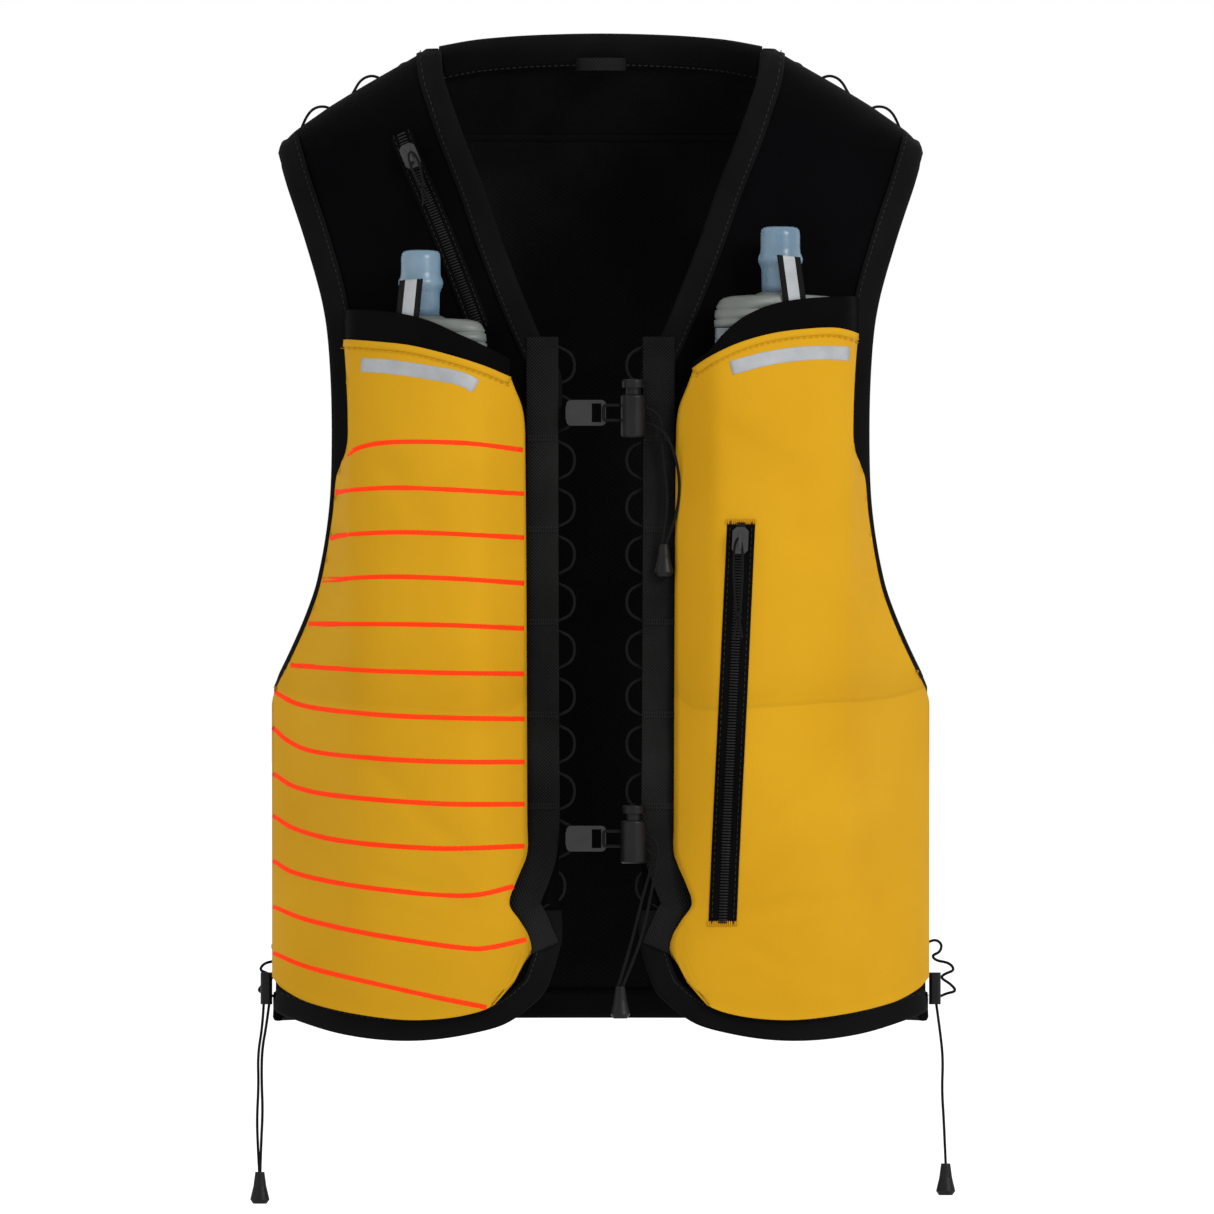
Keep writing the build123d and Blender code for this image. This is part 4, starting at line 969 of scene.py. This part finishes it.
def flask_tab(side):
    """Strip sewn into the pocket mouth: reflective down the middle, black woven edges."""
    name = SIDE_NAME[side]
    low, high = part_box(f"{name}_flask_tab")
    middle = (low[0] + high[0]) / 2 / MM
    front = (low[1] + high[1]) / 2 / MM
    foot, head = low[2] / MM, high[2] / MM
    lean = side * POCKET_LEAN
    grid = []
    for share in np.linspace(0, 1, 24):
        row = []
        for across in np.linspace(-6.0, 6.0, 13):
            curl = 0.03 * across * across - 1.6 * share**2
            shift = TAB_LEAN[side] * (share - 0.5)
            row.append((middle + shift + across * math.cos(lean), front + across * math.sin(lean) + curl,
                        foot + (head - foot) * share + TAB_LEAN[side] * across * 0.02))
        grid.append(row)

    def paint(_, column):
        return 1 if 3 <= column <= 8 else 0
    made = sheet_mesh(f"{name}_tab_strip", grid, TAB_CLOTH, [WEBBING, REFLECTIVE], paint)
    stand_in(made, f"{name}_flask_tab", f"{name}_front")


for front_side in (RIGHT, LEFT):
    flask(front_side)
    flask_tab(front_side)


# ---------------------------------------------------------------- zips
def zip_strip(name, node, line, width, put, side, base):
    """Zip tape sewn down along both edges, with its coil; base is how far out the tape lies."""
    tape = ribbon(f"{name}_tape", line, flat_profile(width, base, base + 0.6, 0.0), put, TAPE, step=2.5)
    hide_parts(node)
    coil = stitches(f"{name}_coil", line, 0.0, base + 0.95, put, PLASTIC, pitch=1.35, dash=4.4, thick=0.5,
                    crosswise=True)
    made = [tape, coil]
    for shift in (-width / 2 + 1.6, width / 2 - 1.6):
        label = f"{name}_seam_{'ab'[shift > 0]}"
        made.append(stitches(label, line, shift, base + 0.75, put, THREAD, thick=0.28))
    for each in made:
        soft_trim(each, side)


CHEST_ZIP = ((65.6, -199.2), (64.4, -225), (61.8, -282), (59, -340), (57, -385.4))
SHOULDER_ZIP = ((93.5, -17), (89.6, -27), (78.4, -53), (70.2, -73), (60.2, -99), (57, -107.5))


def chest_zip():
    put = pocket(LEFT)
    zip_strip("chest_zip", "chest_zip_tape", CHEST_ZIP, 13.0, put, LEFT, 0.05)
    for number, (x, z) in enumerate((CHEST_ZIP[0], CHEST_ZIP[-1])):
        rise = 0.6 if number == 0 else -0.6
        across = ((x - 6.6, z + rise), (x, z + rise), (x + 6.6, z + rise))
        tack = stitches(f"chest_zip_bartack_{number}", across, 0.0, 0.5, put, YELLOW_THREAD,
                        pitch=0.9, dash=2.6, thick=0.42, crosswise=True)
        soft_trim(tack, LEFT)


def pull_loop(name, node, body, length):
    """Thin cord loop from the slider's bridge to a knot, with two short tails."""
    low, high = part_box(node)
    top = Vector(((low[0] + high[0]) / 2, (low[1] + high[1]) / 2, high[2])) / MM
    foot = Vector(((low[0] + high[0]) / 2, (low[1] + high[1]) / 2, low[2])) / MM
    if node == "shoulder_zip_pull":
        top.x, foot.x = low[0] / MM + 3.0, high[0] / MM - 3.0
        top.y, foot.y = high[1] / MM - 2.6, low[1] / MM + 2.6
    way = foot - top

    def at(share, aside, out=0.0):
        spot = top + way * share
        return spot.x + aside, spot.y + out, spot.z
    knot = length
    loop = [at(knot, -0.7), at(knot * 0.8, -1.8), at(knot * 0.4, -2.3), at(0.08, -1.9), at(0.0, 0.0),
            at(0.08, 1.9), at(knot * 0.4, 2.1), at(knot * 0.8, 1.4), at(knot, 0.7)]
    made = [wire(f"{name}_loop", loop, PULL_RADIUS, CORD)]
    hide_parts(node)
    turns = []
    for step in range(15):
        angle = 2 * math.pi * step / 7
        share = knot + 0.045 * math.sin(angle * 0.5 + 1)
        turns.append(at(share, 1.25 * math.cos(angle), 1.15 * math.sin(angle)))
    made.append(wire(f"{name}_knot", turns, 0.62, CORD))
    for number, aside in enumerate((-1.6, 1.3)):
        tail = [at(knot, 0.0), at(knot + (1 - knot) * 0.5, aside * 0.7), at(0.99, aside * 1.3)]
        made.append(wire(f"{name}_tail_{number}", tail, PULL_RADIUS, CORD))
    for each in made:
        hardware(each, body)


chest_zip()
zip_strip("shoulder_zip", "shoulder_zip_tape", SHOULDER_ZIP, 10.5, chest(RIGHT), RIGHT, 2.3)
pull_loop("chest_pull", "chest_zip_pull", "chest_pull", 0.76)
pull_loop("shoulder_pull", "shoulder_zip_pull", "shoulder_slider", 0.62)


# ---------------------------------------------------------------- closures
CLOSURE_Z = {"upper": -147.6, "lower": -346.5}
STRAND_ROUTE = ((22.0, -100.5, 2.1), (19.0, -100.5, 3.5), (9.0, -100.5, 3.5), (3.5, -101.6, 3.5),
                (1.4, -102.4, 3.5), (1.4, -102.4, 0.0), (1.4, -102.4, -3.5), (3.5, -101.6, -3.5),
                (9.0, -100.5, -3.5), (19.0, -100.5, -3.5), (22.0, -100.5, -4.9))


def closure_strands():
    """The doubled cord of each closure, round the hook's bar and back through the lock."""
    for level, z in CLOSURE_Z.items():
        route = [(x, y, z + rise) for x, y, rise in STRAND_ROUTE]
        made = wire(f"{level}_closure_line", route, STRAND_RADIUS, CORD)
        stand_in(made, f"{level}_closure_cord", "left_front")


closure_strands()


# ---------------------------------------------------------------- back
BACK_HEM_Z = -432.0
YOKE_SEAM_Z = -16.0
COLLAR = ((-76.5, 23), (-66, 25.2), (-56, 26.8), (-33, 28.7), (0, 29.6), (33, 28.7), (56, 26.8),
          (66, 25.2), (76.5, 23))


def back_grid(low, high, rows, columns, offset):
    grid = []
    for z0 in np.linspace(low, high, rows):
        half_width = form_size(round(float(z0), 2))[0] + offset
        far = math.asin(min(armhole_x(z0) / half_width, 1))
        row = []
        for share in np.linspace(-1, 1, columns):
            x = half_width * math.sin(far * share)
            z = float(z0)
            if z > 0:
                z += (value_at(COLLAR, x) - COLLAR_Z) * (z / COLLAR_Z) ** 2
            row.append(rear(x, z, offset))
        grid.append(row)
    return grid


def cloth_back():
    grid = back_grid(BACK_HEM_Z, YOKE_SEAM_Z - 0.1, 120, 96, PANEL)
    panel = sheet_mesh("back_mesh", grid, PANEL, MESH)
    stand_in(panel, "back_panel", "back")
    declare_sheet(panel, grid)
    grid = back_grid(YOKE_SEAM_Z + 0.1, COLLAR_Z, 26, 96, PANEL)
    yoke = sheet_mesh("yoke_knit", grid, PANEL, KNIT)
    stand_in(yoke, "back_yoke", "back")
    declare_sheet(yoke, grid)
    seam = [(x, YOKE_SEAM_Z) for x in (140, 60, 0, -60, -140)]
    for face, low, high, crown in (("outer", 1.9, 2.5, 0.3), ("inner", 0.1, -0.5, -0.3)):
        profile = flat_profile(3.0, low, high, crown)
        hardware(ribbon(f"yoke_seam_{face}", seam, profile, rear, BINDING), "back")


BOTH_WRAP = ((12.6, -0.05), (12.4, -1), (9, -1.3), (5, -1.2), (0.6, -1.4), (-1, -0.6), (-1.3, 1),
             (-1, 2.6), (0.6, 3.4), (5, 3.2), (9, 3.3), (12.4, 3), (12.6, 2.05), (0.2, 2.03), (0.2, -0.03))


def back_edges():
    collar = [(x, value_at(COLLAR, x)) for x in np.linspace(76, -76, 24)]
    made = ribbon("collar_edging", collar, BOTH_WRAP, rear, BINDING)
    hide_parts("neck_binding")
    pieces = [made, stitches("collar_seam_inner", collar, 10.8, -1.15, rear, THREAD),
              stitches("collar_seam_outer", collar, 10.8, 3.25, rear, THREAD)]
    hem = [(x, BACK_HEM_Z) for x in (-154.8, -120, -60, 0, 60, 120, 154.8)]
    made = ribbon("rear_hem_edging", hem, BOTH_WRAP, rear, BINDING)
    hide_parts("rear_hem_binding")
    pieces += [made, stitches("rear_hem_seam", hem, 10.8, 3.25, rear, THREAD)]
    for side in (RIGHT, LEFT):
        arm = [(side * x, z) for x, z in outline_points(ARMHOLE, -283, -19.5, 26, swap=True)]
        if side == RIGHT:
            arm = arm[::-1]
        made = ribbon(f"{SIDE_NAME[side]}_rear_armhole_edging", arm, BOTH_WRAP, rear, BINDING)
        if side == RIGHT:
            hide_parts("rear_armhole_bindings")
        pieces += [made, stitches(f"{SIDE_NAME[side]}_rear_armhole_seam", arm, 10.8, 3.25, rear, THREAD)]
    for each in pieces:
        hardware(each, "back")


def rear_pocket():
    """Stretch pocket across the lower back, open along a bound top edge that dips in the middle."""
    half, foot, top, sag, ease = 112, -415, -215, 14, 14.0
    grid = []
    for share in np.linspace(0, 1, 70):
        row = []
        for x in np.linspace(-half, half, 84):
            dip = sag * (1 - (x / half) ** 2)
            z = foot + (top - dip - foot) * share
            edge = min(half - abs(x), ease) / ease * min(share * 10, 1)
            puff = (1.2 + 0.9 * noise.noise(Vector((x * 0.02, z * 0.02, 2)))) * edge
            row.append(rear(float(x), z, REAR_POCKET_OUT + puff))
        grid.append(row)
    made = sheet_mesh("rear_pocket_cloth", grid, REAR_POCKET_CLOTH, MESH)
    stand_in(made, "rear_pocket", "back")
    declare_sheet(made, grid)
    rim = [(x, top - sag * (1 - (x / half) ** 2)) for x in np.linspace(half, -half, 15)]
    hardware(ribbon("rear_pocket_rim", rim, flat_profile(9.0, 3.0, 5.2, 0.4, 3.6), rear, BINDING), "back")
    hardware(stitches("rear_pocket_rim_seam", rim, 7.0, 5.4, rear, THREAD), "back")
    sides = [(half, top), (half, -300), (half, foot), (0, foot), (-half, foot), (-half, -300), (-half, top)]
    frame_line = smooth_corners(sides)
    hardware(ribbon("rear_pocket_frame", frame_line, flat_profile(5.0, 2.1, 3.4, 0.3), rear, BINDING), "back")


def smooth_corners(points):
    """The same path with two extra points near each corner, so a smooth line keeps its straights."""
    flat = [np.array(p, float) for p in points]
    path = [flat[0]]
    for before, corner, after in zip(flat, flat[1:], flat[2:]):
        for other in (before, after):
            way = other - corner
            path.append(corner + way / np.linalg.norm(way) * 5.0)
    path.append(flat[-1])
    return [tuple(p) for p in path]


def hang_loop():
    low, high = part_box("hang_loop")
    grid = []
    half = (high[0] - low[0]) / 2 / MM
    for share in np.linspace(0, 1, 8):
        row = []
        for turn in np.linspace(-1, 1, 25):
            x = half * math.sin(turn * math.pi / 2)
            bow = math.cos(turn * math.pi / 2)
            row.append((x, high[1] / MM - (high[1] - low[1]) / MM * bow, low[2] / MM + 6.0 * share))
        grid.append(row)
    made = sheet_mesh("hang_loop_strap", grid, 0.9, WEBBING)
    stand_in(made, "hang_loop", "back")


def shoulder_lacing():
    """Elastic cord looped along the back of each shoulder, standing just proud of the ridge."""
    arches = ((84, 13), (87, 16.6), (90.5, 18.4), (94.5, 17.2), (97.5, 12), (101, 8), (104, 11),
              (108.5, 12.3), (113.5, 9.8), (117, 3), (121.5, -2.5), (126.5, -4), (130, -2.3), (135, -3),
              (139, -7.5), (141, -13))
    for side in (RIGHT, LEFT):
        points = [(side * x, 4.0, z) for x, z in arches]
        made = wire(f"{SIDE_NAME[side]}_shoulder_line", points, LACE_RADIUS, CORD)
        if side == RIGHT:
            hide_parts("shoulder_cords")
        hardware(made, "back")


def adjuster_lacing():
    """Elastic laced between small loops at the foot of each side seam."""
    route = ((153.5, 10, -397), (157, 12.5, -394.6), (161, 11, -397), (160, 8, -401),
             (156, 9, -402.5), (158, 12, -405), (164.5, 12, -406), (167, 9.5, -409.5),
             (162.5, 8, -411), (160, 11.5, -413), (165, 12.8, -416), (168, 10, -419.5),
             (162, 9, -420.5), (157, 10.5, -423.5))
    right = [(ADJUSTER_SHIFT - x, y, z) for x, y, z in route]
    for name, points in (("left", route), ("right", right)):
        hardware(wire(f"{name}_adjuster_lacing", points, LACE_RADIUS, CORD), "back")


cloth_back()
back_edges()
rear_pocket()
hang_loop()
shoulder_lacing()
adjuster_lacing()

# ---------------------------------------------------------------- hard nodes that stay, with their finish
FINISHES = {
    SATIN: ("upper_hook", "lower_hook"),
    GUNMETAL: ("chest_zip_slider", "shoulder_zip_slider"),
    STEEL: ("upper_spring", "lower_spring"),
    PLASTIC: ("upper_lock_body", "lower_lock_body", "upper_plunger", "lower_plunger", "upper_tail_toggle",
              "lower_tail_toggle", "right_adjuster_toggle", "left_adjuster_toggle", "right_adjuster_lock",
              "left_adjuster_lock"),
}
for finish, names in FINISHES.items():
    for node_name in names:
        for material_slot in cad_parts[node_name].material_slots:
            material_slot.material = finish
